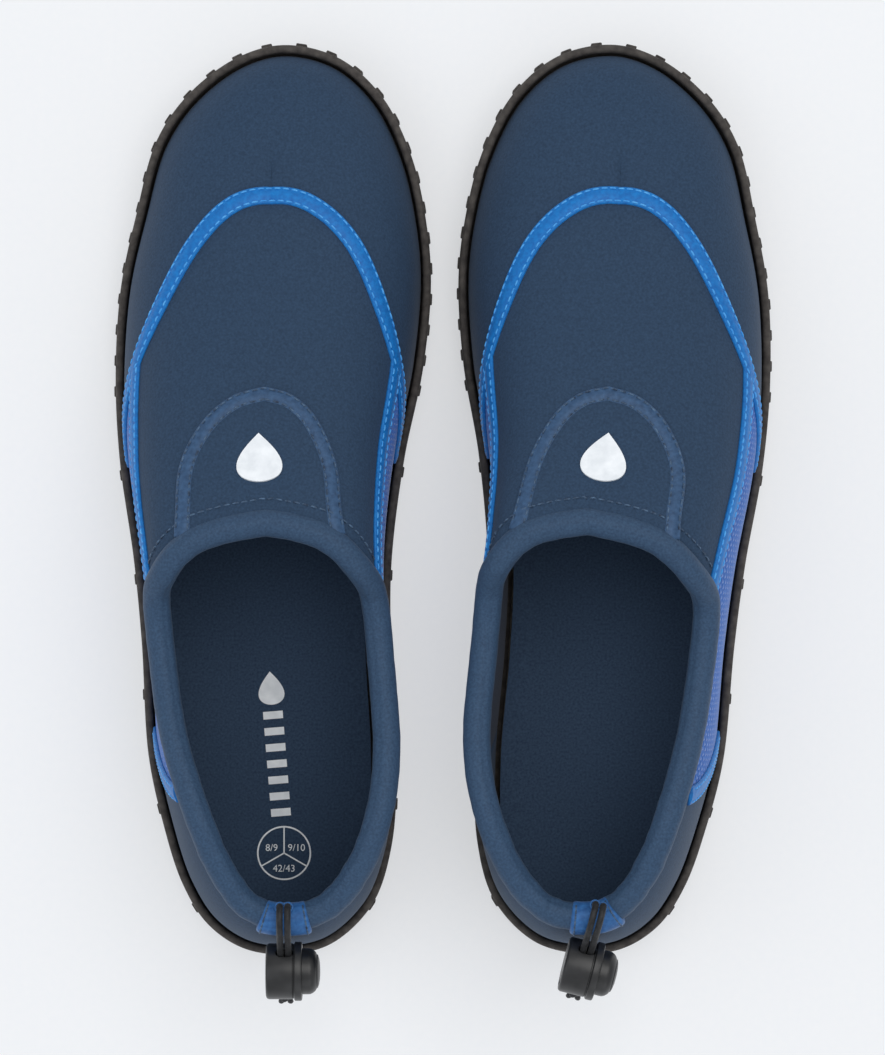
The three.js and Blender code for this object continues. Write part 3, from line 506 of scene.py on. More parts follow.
def mesh_from(name, points, faces, weld=0.0):
    """A mesh of points in metres, its faces turned outwards. weld joins points, in millimetres."""
    mesh = bpy.data.meshes.new(name)
    mesh.from_pydata(np.asarray(points, float).tolist(), [], [list(map(int, f)) for f in faces])
    bm = bmesh.new()
    bm.from_mesh(mesh)
    if weld:
        bmesh.ops.remove_doubles(bm, verts=bm.verts, dist=weld / 1000)
    loose = [v for v in bm.verts if not v.link_faces]
    bmesh.ops.delete(bm, geom=loose, context="VERTS")
    bmesh.ops.recalc_face_normals(bm, faces=bm.faces)
    bm.to_mesh(mesh)
    bm.free()
    return mesh


def evaluated(item):
    """Points and faces of an object with its modifiers applied."""
    mesh = item.evaluated_get(bpy.context.evaluated_depsgraph_get()).to_mesh()
    points = np.array([tuple(vertex.co) for vertex in mesh.vertices])
    return points, [list(face.vertices) for face in mesh.polygons]


def add_piece(name, points, faces, look, body, nodes=(), smooth=True, weld=0.0, sharp=None):
    """A piece of points in metres, riding on a CAD body."""
    mesh = mesh_from(name, points, faces, weld)
    piece = placed(name, mesh)
    mesh.materials.append(LOOKS[look])
    mesh.polygons.foreach_set("use_smooth", [smooth] * len(mesh.polygons))
    if sharp is not None:
        mesh.set_sharp_from_angle(angle=math.radians(sharp))
    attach(piece, body)
    if nodes:
        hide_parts(*nodes)
    return piece


def shoe_piece(shoe, label, shape, look, nodes=(), body="shoe", weld=0.003, sharp=None):
    """A piece of (points, faces) in the shoe's frame. Nodes and body are named without the shoe."""
    prefix = shoe["name"]
    points, faces = shape
    return add_piece(f"{prefix}_{label}", to_world(shoe, points), faces, look, f"{prefix}_{body}",
                     [f"{prefix}_{node}" for node in nodes], weld=weld, sharp=sharp)


def quads(ids, closed=False):
    """Faces of a grid of point numbers. closed joins the last column to the first."""
    if closed:
        ids = np.concatenate([ids, ids[:, :1]], axis=1)
    faces = np.stack([ids[:-1, :-1], ids[1:, :-1], ids[1:, 1:], ids[:-1, 1:]], -1)
    return faces.reshape(-1, 4)


def joined(parts):
    """One list of points and faces from several (points, faces)."""
    points, faces, count = [], [], 0
    for part_points, part_faces in parts:
        points.append(np.asarray(part_points, float).reshape(-1, 3))
        faces.extend((np.asarray(face) + count).tolist() for face in part_faces)
        count += len(points[-1])
    return np.vstack(points), faces


def tube(rings):
    """Closed skin through rings of points, with flat ends."""
    rows, columns = rings.shape[:2]
    ids = np.arange(rows * columns).reshape(rows, columns)
    faces = quads(ids, closed=True).tolist()
    faces.append(ids[0][::-1].tolist())
    faces.append(ids[-1].tolist())
    return rings.reshape(-1, 3), faces


def rings_round(centre, across, up, radius, turn):
    """Rings of a tube about a path, with a radius for each ring and angle."""
    out = np.cos(turn)[None, :, None] * across[:, None] + np.sin(turn)[None, :, None] * up[:, None]
    return centre[:, None] + radius[..., None] * out


def graded(count, edge):
    """Numbers from 0 to 1, closer together within edge of both ends."""
    near = np.array([0, 0.12, 0.35, 0.65]) * edge
    return np.concatenate([near, np.linspace(edge, 1 - edge, count), 1 - near[::-1]])


def nearest(points, line):
    """Distance of each point of a grid to a polyline."""
    flat = points.reshape(-1, points.shape[-1])
    found = np.full(len(flat), 1e9)
    for start in range(0, len(line), 40):
        away = np.linalg.norm(flat[:, None] - line[None, start : start + 40], axis=-1)
        found = np.minimum(found, away.min(1))
    return found.reshape(points.shape[:-1])


def rounding(away, half):
    """How far a sheet's faces fall back near its edges."""
    near = np.clip(away / half, 0, 1)
    return half * (1 - np.sqrt(np.maximum(0, 1 - (1 - near) ** 2)))


def two_faced(top, bottom):
    """A thin solid from the grids of its two faces, which meet at the edges."""
    ids = np.arange(top[..., 0].size).reshape(top.shape[:2])
    faces = quads(ids).tolist() + (quads(ids)[:, ::-1] + ids.size).tolist()
    return np.vstack([top.reshape(-1, 3), bottom.reshape(-1, 3)]), faces


def soft_sheet(shoe, chart, edge_a, edge_b, across, along, low, high, puff=0.0, runs_on=None):
    """A rounded sheet between two lines of a chart. Where runs_on is true, the second line isn't
    an edge, because the sheet meets itself there."""
    u, v = np.meshgrid(graded(across, 0.05), graded(along, 0.02))
    a0, b0 = edge_a(v)
    a1, b1 = edge_b(v)
    a, b = a0 + (a1 - a0) * u, b0 + (b1 - b0) * u
    base = lifted(shoe, chart, a, b, (low + high) / 2 + 0 * a)
    ends_here = np.full(len(base), True) if runs_on is None else ~runs_on(v[:, -1])
    borders = [base[0], base[-1], base[:, 0], base[ends_here, -1]]
    away = np.min([nearest(base, line) for line in borders], axis=0)
    fall = rounding(away, (high - low) / 2)
    rise = puff * (1 - np.exp(-away / 5))
    return two_faced(
        lifted(shoe, chart, a, b, high - fall + rise), lifted(shoe, chart, a, b, low + fall)
    )


TAPE_SECTION = [
    (-1, 0.1), (-1, 0.55), (-0.94, 0.95), (-0.84, 1.12), (-0.7, 1.06), (-0.56, 1.16),
    (-0.3, 1.36), (0, 1.42), (0.3, 1.36), (0.56, 1.16), (0.7, 1.06), (0.84, 1.12),
    (0.94, 0.95), (1, 0.55), (1, 0.1),
]


def tape(shoe, chart, line, width, steps=160):
    """Ribbon along a line, pressed down a little along its two rows of stitches."""
    s = np.linspace(0, 1, steps)
    rings = []
    for place, lift in TAPE_SECTION:
        a, b = moved_line(shoe, chart, line, place * width / 2 + 0 * s)(s)
        rings.append(lifted(shoe, chart, a, b, lift + 0 * s))
    return tube(np.stack(rings, 1))


def stitches(shoe, chart, line, offset, lift, pitch=2.7, length=2.1, radius=0.3, ends=1.5):
    """A row of thread stitches along a line, each sunk at both ends."""
    s = np.linspace(0, 1, 500)
    a, b = moved_line(shoe, chart, line, offset + 0 * s)(s)
    path = lifted(shoe, chart, a, b, lift + 0 * s)
    normals = surface_normal(shoe["lean"], *chart(a, b))
    lengths = running_length(path)
    count = max(1, int((lengths[-1] - 2 * ends) / pitch))
    first = (lengths[-1] - (count - 1) * pitch) / 2
    parts = []
    around = full_turn(6)
    for centre in first + pitch * np.arange(count):
        at = centre + length / 2 * np.array([-1, -0.8, -0.35, 0.35, 0.8, 1])
        spine = resample(path, lengths, at)
        normal = resample(normals, lengths, np.full(1, centre))[0]
        ahead = spine[-1] - spine[0]
        ahead = unit(ahead)
        side = np.cross(normal, ahead)
        spine = spine + normal * np.array([-0.35, -0.08, 0, 0, -0.08, -0.35])[:, None]
        size = radius * np.array([0.55, 0.9, 1, 1, 0.9, 0.55])[:, None, None]
        ring = np.cos(around)[:, None] * side + np.sin(around)[:, None] * normal
        parts.append(tube(spine[:, None] + ring[None] * size))
    return joined(parts)

# ------------------------------------------------------------------ camera, light and floor

CAMERA_HEIGHT = 1.55
FIELD_HEIGHT = 0.3344  # what the picture's height spans at floor level, in metres
SENSOR = 36.0

camera_data = bpy.data.cameras.new("camera")
camera_data.sensor_width = SENSOR
camera_data.lens = SENSOR * CAMERA_HEIGHT / FIELD_HEIGHT
camera = placed("camera", camera_data)
camera.location = (-0.0002, -0.0092, CAMERA_HEIGHT)
bpy.context.scene.camera = camera


def lamp(name, place, size, power, colour):
    data = bpy.data.lights.new(name, "AREA")
    data.shape = "SQUARE"
    data.size = size
    data.energy = power
    data.color = colour
    light = placed(name, data)
    light.location = place
    light.rotation_euler = (Vector((0, 0, 0.03)) - Vector(place)).to_track_quat("-Z", "Y").to_euler()


lamp("key", (0.45, 0.55, 1.9), 1.5, 15.5, (1.0, 0.985, 0.96))
lamp("fill", (-1.1, -0.2, 1.2), 1.3, 4, (0.93, 0.96, 1.0))
lamp("low_front", (0.3, -1.3, 0.7), 1.0, 2, (0.96, 0.98, 1.0))
world = bpy.data.worlds.new("studio")
world.use_nodes = True
sky = world.node_tree.nodes["Background"]
sky.inputs["Color"].default_value = (0.93, 0.96, 1.0, 1.0)
sky.inputs["Strength"].default_value = 0.64
bpy.context.scene.world = world
bpy.context.scene.view_settings.view_transform = "Standard"

floor_mesh = bpy.data.meshes.new("floor")
corners = [(-3, -3, 0), (3, -3, 0), (3, 3, 0), (-3, 3, 0)]
floor_mesh.from_pydata(corners, [], [(0, 1, 2, 3)])
floor = placed("floor", floor_mesh)
floor.location.z = -0.0004
floor_mesh.materials.append(LOOKS["floor"])

# ------------------------------------------------------------------ cord ends and lock


def collar_point(shoe, place):
    """Centre of the collar roll and the upper's normal there. place runs from 0 at the heel to
    1 at the throat on the inner side, and to -1 on the outer side."""
    place = np.asarray(place, float)
    place = np.where(place > 1, place - 2, np.where(place < -1, place + 2, place))
    station, angle = collar_line(np.where(place >= 0, place / 2, 1 + place / 2))
    normal = surface_normal(shoe["lean"], 1, station, angle)
    return surface_point(shoe["lean"], 1, station, angle) - normal * COLLAR_SINK, normal


def collar_frames(shoe, places):
    centre, normal = collar_point(shoe, places)
    along = collar_point(shoe, places + 0.004)[0] - collar_point(shoe, places - 0.004)[0]
    along = unit(along)
    across = normal - along * np.sum(normal * along, -1, keepdims=True)
    across = unit(across)
    return centre, across, np.cross(along, across)


def cord_to_shoe(shoe, points):
    """From the frame at the collar roll where the cord swings, to the shoe's frame."""
    x, y, z = np.moveaxis(np.asarray(points, float), -1, 0)
    yaw = math.radians(shoe["yaw"])
    exit_point = collar_point(shoe, shoe["tab"])[0]
    turned = (x * math.cos(yaw) - y * math.sin(yaw), x * math.sin(yaw) + y * math.cos(yaw), z)
    return np.stack(turned, -1) + exit_point


strand_direction = unit(np.array(LOCK_CENTRE) - np.array(STRAND_ARCH[-1]))


def lock_to_shoe(shoe, points):
    """From the lock's frame, its axis along x and the cord along y, to the shoe's frame."""
    x, y, z = np.moveaxis(np.asarray(points, float), -1, 0)
    cos, sin = strand_direction
    placed = (
        x * shoe["button"],
        LOCK_CENTRE[0] + y * cos - z * sin,
        LOCK_CENTRE[1] + y * sin + z * cos,
    )
    return cord_to_shoe(shoe, np.stack(placed, -1))


def strand_route(side):
    """Centreline of one strand in the cord's frame."""
    rows = [(4.0, 4.7), *STRAND_ARCH]
    for distance in (-5, 0, 5, STRAND_BEYOND_LOCK + 0.8):
        rows.append(tuple(np.array(LOCK_CENTRE) + strand_direction * distance))
    x = side * STRAND_PITCH / 2
    return catmull([(x, y, z) for y, z in rows], False, 6)


def strand(shoe, label, side):
    points = to_world(shoe, cord_to_shoe(shoe, strand_route(side)))
    name = f"{shoe['name']}_strand_{label}"
    curve = bpy.data.curves.new(name, "CURVE")
    curve.dimensions = "3D"
    curve.bevel_depth = STRAND_RADIUS / 1000
    curve.bevel_resolution = 5
    curve.use_fill_caps = True
    spline = curve.splines.new("POLY")
    spline.points.add(len(points) - 1)
    for target, point in zip(spline.points, points):
        target.co = (*point, 1)
    spline.use_smooth = True
    piece = placed(name, curve)
    curve.materials.append(LOOKS["cord"])
    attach(piece, f"{shoe['name']}_cord")
    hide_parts(f"{shoe['name']}_cord_strand_{label}")
    length = float(running_length(points)[-1])


def cord_knot(shoe):
    """The knot that ties the two ends, with their short tails."""
    t = full_turn(72)
    centre = STRAND_BEYOND_LOCK + 1.9
    x = 0.5 * (np.sin(t) + 2 * np.sin(2 * t))
    y = centre + 0.75 * np.sin(3 * t)
    z = 0.42 * (np.cos(t) - 2 * np.cos(2 * t))
    path = np.stack([x, y, z], -1)
    ahead = np.roll(path, -1, 0) - np.roll(path, 1, 0)
    ahead = unit(ahead)
    side = np.cross(ahead, np.array([0.0, 1.0, 0.0]) + 0.01)
    side = unit(side)
    up = np.cross(ahead, side)
    rings = rings_round(path, side, up, np.array([[0.95]]), full_turn(12))
    ids = np.arange(72 * 12).reshape(72, 12)
    ids = np.concatenate([ids, ids[:1]])
    parts = [(rings.reshape(-1, 3), quads(ids, closed=True))]
    for x in (-0.9, 1.0):
        lengths = np.array([0, 1.2, 2.2, 2.5])
        radius = np.array([0.95, 0.98, 0.95, 0.75])[:, None]
        turn = full_turn(12)[None]
        tail = np.stack([
            x + radius * np.cos(turn) + 0.2 * np.sign(x) * lengths[:, None],
            centre + 0.6 + lengths[:, None] + 0 * turn,
            radius * np.sin(turn),
        ], -1)
        parts.append(tube(tail))
    points, faces = joined(parts)
    shape = lock_to_shoe(shoe, points), faces
    return shoe_piece(shoe, "knot", shape, "cord", ["cord_knot"], body="cord", weld=0)


LOCK_RADIUS, LOCK_LENGTH, LOCK_BORE, LOCK_FLOOR = 8.5, 11, 7.4, 1.2
BUTTON_RADIUS, BUTTON_PROUD, BUTTON_TRAVEL, CORD_HOLE_X = 7, 5.5, 2.5, 5.7
LOCK_OPEN = LOCK_LENGTH - CORD_HOLE_X


def lathe(profile, sides=72):
    """Solid of revolution about x through (x, radius) points that start and end near the axis."""
    turn = full_turn(sides)
    rings = [
        np.stack([x + 0 * turn, radius * np.cos(turn), radius * np.sin(turn)], -1)
        for x, radius in profile
    ]
    return tube(np.stack(rings))


def slot_cutter(x_low, x_high, half_height, depth=30):
    """Prism along y with a slot's rounded section."""
    bend = np.linspace(-np.pi / 2, np.pi / 2, 9)
    right = [(x_high - half_height + half_height * math.cos(b), half_height * math.sin(b)) for b in bend]
    left = [(x_low + half_height - half_height * math.cos(b), -half_height * math.sin(b)) for b in bend]
    section = np.array(right + left)
    rings = [np.insert(section, 1, y, axis=1) for y in (-depth / 2, depth / 2)]
    return tube(np.stack(rings))


def cut(body, cutters):
    """The body less the cutters, all as (points, faces)."""
    objects = []
    for points, faces in [body, *cutters]:
        objects.append(placed("blank", mesh_from("blank", points, faces)))
    for cutter in objects[1:]:
        modifier = objects[0].modifiers.new("cut", "BOOLEAN")
        modifier.object = cutter
        modifier.operation = "DIFFERENCE"
        modifier.solver = "EXACT"
    result = evaluated(objects[0])
    for blank in objects:
        bpy.data.objects.remove(blank)
    return result


def lock_barrel():
    closed, opened = -CORD_HOLE_X, LOCK_OPEN
    profile = [
        (closed, 0.05), (closed, 5.6), (closed + 0.25, 5.75), (closed + 0.3, 6.6), (closed, 6.8),
        (closed, 7.5), (closed + 0.12, 7.95), (closed + 0.4, 8.3), (closed + 0.9, LOCK_RADIUS),
        (opened - 2.9, LOCK_RADIUS), (opened - 2.7, 8.3), (opened - 2.5, 8.3),
        (opened - 2.3, 8.75), (opened - 2.1, 9), (opened - 0.5, 9), (opened - 0.15, 8.85),
        (opened, 8.5), (opened, 7.8), (opened - 0.3, LOCK_BORE),
        (closed + LOCK_FLOOR, LOCK_BORE), (closed + LOCK_FLOOR, 0.05),
    ]
    return cut(lathe(profile), [slot_cutter(-2.75, 2.75, 1.6)])


def lock_button():
    skirt_end = -CORD_HOLE_X + LOCK_FLOOR + BUTTON_TRAVEL + 0.4
    crown = LOCK_OPEN + BUTTON_PROUD
    profile = [
        (crown - 4, 0.05), (crown - 4, BUTTON_RADIUS - 1.1), (skirt_end, BUTTON_RADIUS - 1.1),
        (skirt_end, BUTTON_RADIUS), (crown - 3.6, BUTTON_RADIUS), (crown - 3, 6.95),
        (crown - 2.2, 6.6), (crown - 1.5, 6.0), (crown - 1.15, 5.5), (crown - 1.05, 5.2),
        (crown - 0.7, 5.0), (crown - 0.35, 4.0), (crown - 0.12, 2.6), (crown - 0.02, 1.2),
        (crown, 0.05),
    ]
    notch_end = STRAND_PITCH / 2 + STRAND_RADIUS + BUTTON_TRAVEL + 0.5
    return cut(lathe(profile), [slot_cutter(-12, notch_end, 1.8)])


LOCK_PARTS = (("barrel", "lock", lock_barrel()), ("button", "button", lock_button()))
for shoe in SHOES:
    knot_piece = cord_knot(shoe)
    for label, body, (points, faces) in LOCK_PARTS:
        shape = lock_to_shoe(shoe, points), faces
        shoe_piece(shoe, f"toggle_{label}", shape, "plastic", [f"lock_{label}"],
                   body, weld=0, sharp=32)
    for label, side in (("a", -1), ("b", 1)):
        strand(shoe, label, side)
    for node, look in (("lock_spring", "steel"), ("lasting_board", "board")):
        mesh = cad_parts[f"{shoe['name']}_{node}"].data
        mesh.materials.clear()
        mesh.materials.append(LOOKS[look])

# ------------------------------------------------------------------ sole


def at_height(plan, level):
    return np.concatenate([plan, np.asarray(level)[..., None]], -1)


def rim_top(station):
    toe = smoothstep(0.62, 0.9, station)
    heel = 1 - smoothstep(0.08, 0.24, station)
    rise = (RIM_TOP_TOE - RIM_TOP_SIDE) * toe + (RIM_TOP_HEEL - RIM_TOP_SIDE) * heel
    return RIM_TOP_SIDE + rise


# The tray's section from the underside round the rim to the floor, as (inset, height, from top).
TRAY_SECTION = [
    (3.0, 2.0, False), (2.0, 2.05, False), (1.0, 2.5, False), (0.35, 3.3, False),
    (0.08, 4.3, False), (0.0, 5.6, False), (0.0, 6.6, False), (0.3, 6.9, False),
    (0.3, 7.3, False), (0.0, 7.6, False), (0.0, -4.2, True), (0.0, -1.6, True),
    (0.1, -0.9, True), (0.35, -0.35, True), (0.8, -0.05, True), (1.4, 0.0, True),
    (1.95, -0.15, True), (2.4, -0.6, True), (2.6, -1.5, True), (2.6, -3.0, True),
    (2.6, 9.0, False), (3.2, 8.0, False),
]


def around_outline(rungs):
    place = (1 - np.cos(np.pi * np.arange(rungs) / rungs)) / 2
    side = np.concatenate([np.ones(rungs), -np.ones(rungs)])
    return side, np.concatenate([place, 1 - place])


def tray():
    rungs = 170
    side, station = around_outline(rungs)
    rings = []
    for inset, height, from_top in TRAY_SECTION:
        plan = inset_at(side, station, inset + 0 * station)
        level = rim_top(station) + height if from_top else height + spring_at(plan[:, 1])
        rings.append(at_height(plan, level))
    rings = np.stack(rings)
    size = 2 * rungs
    ids = np.arange(rings.shape[0] * size).reshape(-1, size)
    faces = quads(ids, closed=True).tolist()
    for ring in (ids[0], ids[-1]):
        for i in range(rungs):
            strip = [ring[i], ring[i + 1], ring[size - i - 1], ring[(size - i) % size]]
            faces.append(list(dict.fromkeys(strip)))
    return rings.reshape(-1, 3), faces


def rounded_box(size, bevel=0.4):
    bm = bmesh.new()
    bmesh.ops.create_cube(bm, size=1)
    for vert in bm.verts:
        vert.co = Vector(a * b for a, b in zip(vert.co, size))
    bmesh.ops.bevel(bm, geom=bm.edges, offset=bevel, segments=2, profile=0.6, affect="EDGES")
    bm.verts.index_update()
    points = np.array([tuple(v.co) for v in bm.verts])
    faces = [[v.index for v in face.verts] for face in bm.faces]
    bm.free()
    return points, faces


def side_lugs():
    parts = []
    stations = [0.1, 0.2, 0.31, 0.42, 0.52, *np.arange(0.6, 0.985, 0.0295)]
    for side in (1, -1):
        for station in stations:
            at = np.array([station])
            proud = 0.5 + 0.4 * float(smoothstep(0.78, 0.95, station))
            foot = inset_at(side, at, 1.2 - proud)[0]
            out = outward(np.array([side]), at)[0]
            low = 4.5 + float(spring_at(foot[1]))
            high = float(rim_top(station)) - 2.5
            points, faces = rounded_box((2.4, 3.4, high - low))
            x = foot[0] + points[:, 0] * out[0] - points[:, 1] * out[1]
            y = foot[1] + points[:, 0] * out[1] + points[:, 1] * out[0]
            parts.append((np.column_stack([x, y, points[:, 2] + (low + high) / 2]), faces))
    return parts


TREAD_BARS = 13


def tread_block(station, share, length, width):
    """One chevron block of a tread bar: a rounded slab between two stations and two shares."""
    s = np.linspace(station, station + length, 4)
    u = np.linspace(share, share + width, 7)
    stations, shares = np.meshgrid(s, u)
    bend = stations + 0.012 * (1 - np.abs(2 * shares - 1))
    left, right = inset_at(-1, bend, 5.0 + 0 * bend), inset_at(1, bend, 5.0 + 0 * bend)
    plan = left + (right - left) * shares[..., None]
    level = spring_at(plan[..., 1])
    centre = plan.mean((0, 1))
    top, edge = at_height(plan, level + 2.3), at_height(plan, level + 0.5)
    foot = at_height(centre + (plan - centre) * 0.96, level)
    border = [*[(0, j) for j in range(4)], *[(i, 3) for i in range(1, 7)]]
    border += [*[(6, j) for j in range(2, -1, -1)], *[(i, 0) for i in range(5, 0, -1)]]
    rings = np.stack([np.array([grid[i, j] for i, j in border]) for grid in (top, edge, foot)])
    return tube(rings)


def outsole(shoe):
    parts = [tray(), *side_lugs()]
    pitch = (0.96 - 0.05) / TREAD_BARS
    for bar in range(TREAD_BARS):
        for share in (0.02, 0.265, 0.51, 0.755):
            parts.append(tread_block(0.05 + bar * pitch, share, pitch * 0.62, 0.225))
    return shoe_piece(shoe, "cup_sole", joined(parts), "rubber", ["outsole"], weld=0, sharp=38)


def foot_slab(inset, low, high, cup=0.0, across=36, along=130):
    """A rounded plate with the foot's plan; cup lifts its edges a little."""
    s = (1 - np.cos(np.pi * np.linspace(0, 1, along))) / 2
    u = graded(across, 0.04)
    shares, stations = np.meshgrid(u, s)
    left, right = inset_at(-1, stations, inset + 0 * stations), inset_at(1, stations, inset + 0 * stations)
    plan = left + (right - left) * shares[..., None]
    side, station = around_outline(160)
    border = inset_at(side, station, inset + 0 * station)
    away = nearest(plan, np.vstack([border, border[:1]]))
    fall = rounding(away, (high - low) / 2)
    level = spring_at(plan[..., 1]) + cup * np.exp(-((away / 5) ** 2))
    return two_faced(at_height(plan, level + high - fall), at_height(plan, level + low + fall))


def insole(shoe):
    foam = foot_slab(8.2, BOARD_HIGH + 0.2, FOAM_HIGH)
    shoe_piece(shoe, "foam_bed", foam, "foam", ["insole_foam"])
    cover = foot_slab(8.0, FOAM_HIGH + 0.1, COVER_HIGH, cup=0.7)
    shoe_piece(shoe, "insole", cover, "insole", ["insole_cover"])


# ------------------------------------------------------------------ upper


def seam_corner(shoe, side):
    """Where the top seam runs in under the collar."""
    end = np.array([0.0 if side > 0 else 1.0])
    station, angle = collar_edge(shoe, 5.5)(end)
    return float(station[0]), float(angle[0] if side > 0 else 180 - angle[0])


def sided(line, side):
    """The line on the inner side, or its mirror image on the outer side."""

    def mirrored(s):
        station, angle = line(s)
        return station, 180 - angle

    return line if side > 0 else mirrored


def side_ceiling(shoe, side):
    """Upper edge of the mesh panel, as angle against station."""
    corner_station, corner_angle = seam_corner(shoe, side)
    split_station, split_angle = ARC_SEAM[SPLIT]

    def ceiling(station):
        share = (station - corner_station) / (split_station - corner_station)
        along_seam = corner_angle + (split_angle - corner_angle) * share
        under_roll = np.minimum(collar_angle(station - 0.01) - 2.2, corner_angle)
        return np.where(station < corner_station, under_roll, along_seam)

    return ceiling


def side_edges(shoe, side):
    ceiling = side_ceiling(shoe, side)
    front = 0.618

    def low(s):
        station = HEEL_SEAM[0][0] + (front - HEEL_SEAM[0][0]) * s
        return station, np.where(station > ARC_SEAM[0][0], arc_angle(station), 0)

    def high(s):
        station = HEEL_SEAM[1][0] + (front - HEEL_SEAM[1][0]) * s
        return station, ceiling(station)

    return sided(low, side), sided(high, side)


def mesh_fabric(shoe, side):
    """Open mesh: staggered columns of long holes between the threads."""
    ceiling = side_ceiling(shoe, side)
    pitch_along, pitch_up = 0.0098, 1.3
    rows, columns = np.meshgrid(np.arange(0, 32), np.arange(0, 44), indexing="ij")
    station = 0.2 + pitch_along * (columns + 0.5 * (rows % 2))
    angle = pitch_up * (rows + 0.5)
    heel = HEEL_SEAM[0][0] + (HEEL_SEAM[1][0] - HEEL_SEAM[0][0]) * angle / HEEL_SEAM[1][1]
    floor_angle = np.where(station > ARC_SEAM[0][0], arc_angle(station), 0)
    keep = (station > heel - 0.004) & (angle < ceiling(station) + 0.9) & (angle > floor_angle - 0.5)
    station, angle = station[keep], angle[keep]
    edge = np.array([(-1, -1), (0, -1), (1, -1), (1, 0), (1, 1), (0, 1), (-1, 1), (-1, 0)]) / 2
    turn = full_turn(8) + np.pi * 1.25
    hole = np.stack([0.37 * np.cos(turn), 0.27 * np.sin(turn)], -1)
    ring = np.concatenate([edge, hole])
    a = station[:, None] + pitch_along * ring[None, :, 0]
    b = angle[:, None] + pitch_up * ring[None, :, 1]
    lift = -0.3 + np.where(np.arange(16) < 8, 0.12, -0.08)[None] + 0 * a
    normal = surface_normal(shoe["lean"], side + 0 * a, a, b)
    points = surface_point(shoe["lean"], side + 0 * a, a, b) + normal * lift[..., None]
    cell = [[k, (k + 1) % 8, 8 + (k + 1) % 8, 8 + k] for k in range(8)]
    faces = (np.array(cell)[None] + 16 * np.arange(len(station))[:, None, None]).reshape(-1, 4)
    return points.reshape(-1, 3), faces.tolist()


def solidified(points, faces, thickness, weld):
    """A skin given thickness, with walls in its holes."""
    blank = placed("blank", mesh_from("blank", points, faces, weld * 1000))
    modifier = blank.modifiers.new("thickness", "SOLIDIFY")
    modifier.thickness = thickness
    modifier.offset = 0
    result = evaluated(blank)
    bpy.data.objects.remove(blank)
    return result


def toe_panel(shoe):
    reach = 0.468

    def place_at(s):
        return reach * (1 - 2 * s)

    def over_toe(s):
        """Ahead of the arc's top the cloth runs on over the ridge."""
        return np.abs(place_at(s)) < 0.1

    def bottom(s):
        return place_at(s), 0 * s

    def top(s):
        return place_at(s), np.where(over_toe(s), 90, arc_angle(1 - np.abs(place_at(s))) + 1.2)

    return soft_sheet(shoe, round_toe, bottom, top, 40, 150, -NEOPRENE, 0, PUFF, over_toe)


def collar_edge(shoe, distance):
    """A line in front of the collar over the vamp."""
    return lambda s: moved_line(shoe, over_ridge, throat_line, -distance + 0 * np.asarray(s, float))(s)


def instep_panel(shoe):
    arc = crossing_line(ARC_SEAM[SPLIT:])
    return soft_sheet(shoe, over_ridge, arc, collar_edge(shoe, 2.6), 90, 110, -NEOPRENE, 0, PUFF)


def heel_panel(shoe):
    def low(s):
        return HEEL_SEAM[0][0] * (1 - 2 * s), 0 * s

    def high(s):
        place = HEEL_SEAM[1][0] * (1 - 2 * s)
        return place, collar_angle(np.abs(place)) - 2.4

    return soft_sheet(shoe, round_heel, low, high, 40, 130, -NEOPRENE, 0, 0.3)


def top_line(shoe, side):
    station, angle = seam_corner(shoe, side)
    start, end = ARC_SEAM[SPLIT], (station, angle)
    longer = tuple(start[k] + (end[k] - start[k]) * 1.07 for k in (0, 1))
    return sided(straight_line(start, longer), side)


def heel_line(side):
    low, high = HEEL_SEAM
    start = tuple(low[k] + (high[k] - low[k]) * 0.1 for k in (0, 1))
    end = tuple(low[k] + (high[k] - low[k]) * 1.06 for k in (0, 1))
    return sided(straight_line(start, end), side)


CAP_LEGS = [(0.437, 57.4), *CAP_SEAM]


def instep_patch(shoe):
    cap = crossing_line(CAP_LEGS)
    back = collar_edge(shoe, 2.8)

    def front(s):
        return cap(0.005 + 0.99 * s)

    return soft_sheet(shoe, over_ridge, front, lambda s: back(0.18 + 0.64 * s), 60, 90, 0.15, 0.85, PUFF)


def decal(shoe, chart, centre, outline, low, high, rings=8):
    """A thin plate on the upper, its outline in millimetres: forward, and to the outer side."""
    a0, b0 = centre
    outline = np.asarray(outline, float)
    step_a, step_b = 0.004, 1.0
    here = lifted(shoe, chart, np.array([a0 - step_a, a0 + step_a, a0, a0]),
                  np.array([b0, b0, b0 - step_b, b0 + step_b]), np.zeros(4))
    steps = here[1] - here[0], here[3] - here[2]
    ahead = unit(steps[0])
    aside = unit(steps[1] - ahead * (steps[1] @ ahead))
    per_a = np.linalg.norm(steps[0]) / (2 * step_a)
    per_b = np.linalg.norm(steps[1]) / (2 * step_b)
    middle = (here[0] + here[1]) / 2
    shares = np.concatenate([np.linspace(0.02, 1, rings), [1.0, 1.0]])
    lifts = np.concatenate([np.full(rings, high), [high - 0.08, low]])
    grid = []
    for share, lift in zip(shares, lifts):
        a, b = a0 + 0 * outline[:, 0], b0 + 0 * outline[:, 1]
        for _ in range(12):
            away = lifted(shoe, chart, a, b, 0 * a) - middle
            a = a + 0.7 * (share * outline[:, 0] - away @ ahead) / per_a
            b = b + 0.7 * (share * outline[:, 1] - away @ aside) / per_b
        grid.append(lifted(shoe, chart, a, b, lift + 0 * a))
    return tube(np.stack(grid))


def drop_outline(length, width):
    """A plain drop, its point forward."""
    t = full_turn(56)
    forward = length / 2 * np.cos(t)
    aside = width / 2 * np.sin(t) * np.sin(t / 2) ** 1.15 * 1.28
    return np.column_stack([forward, aside])


def badge(shoe):
    return decal(shoe, over_ridge, (0.494, 92), drop_outline(16, 14.5), 1.2, 1.9)


COLLAR_STEPS = 460


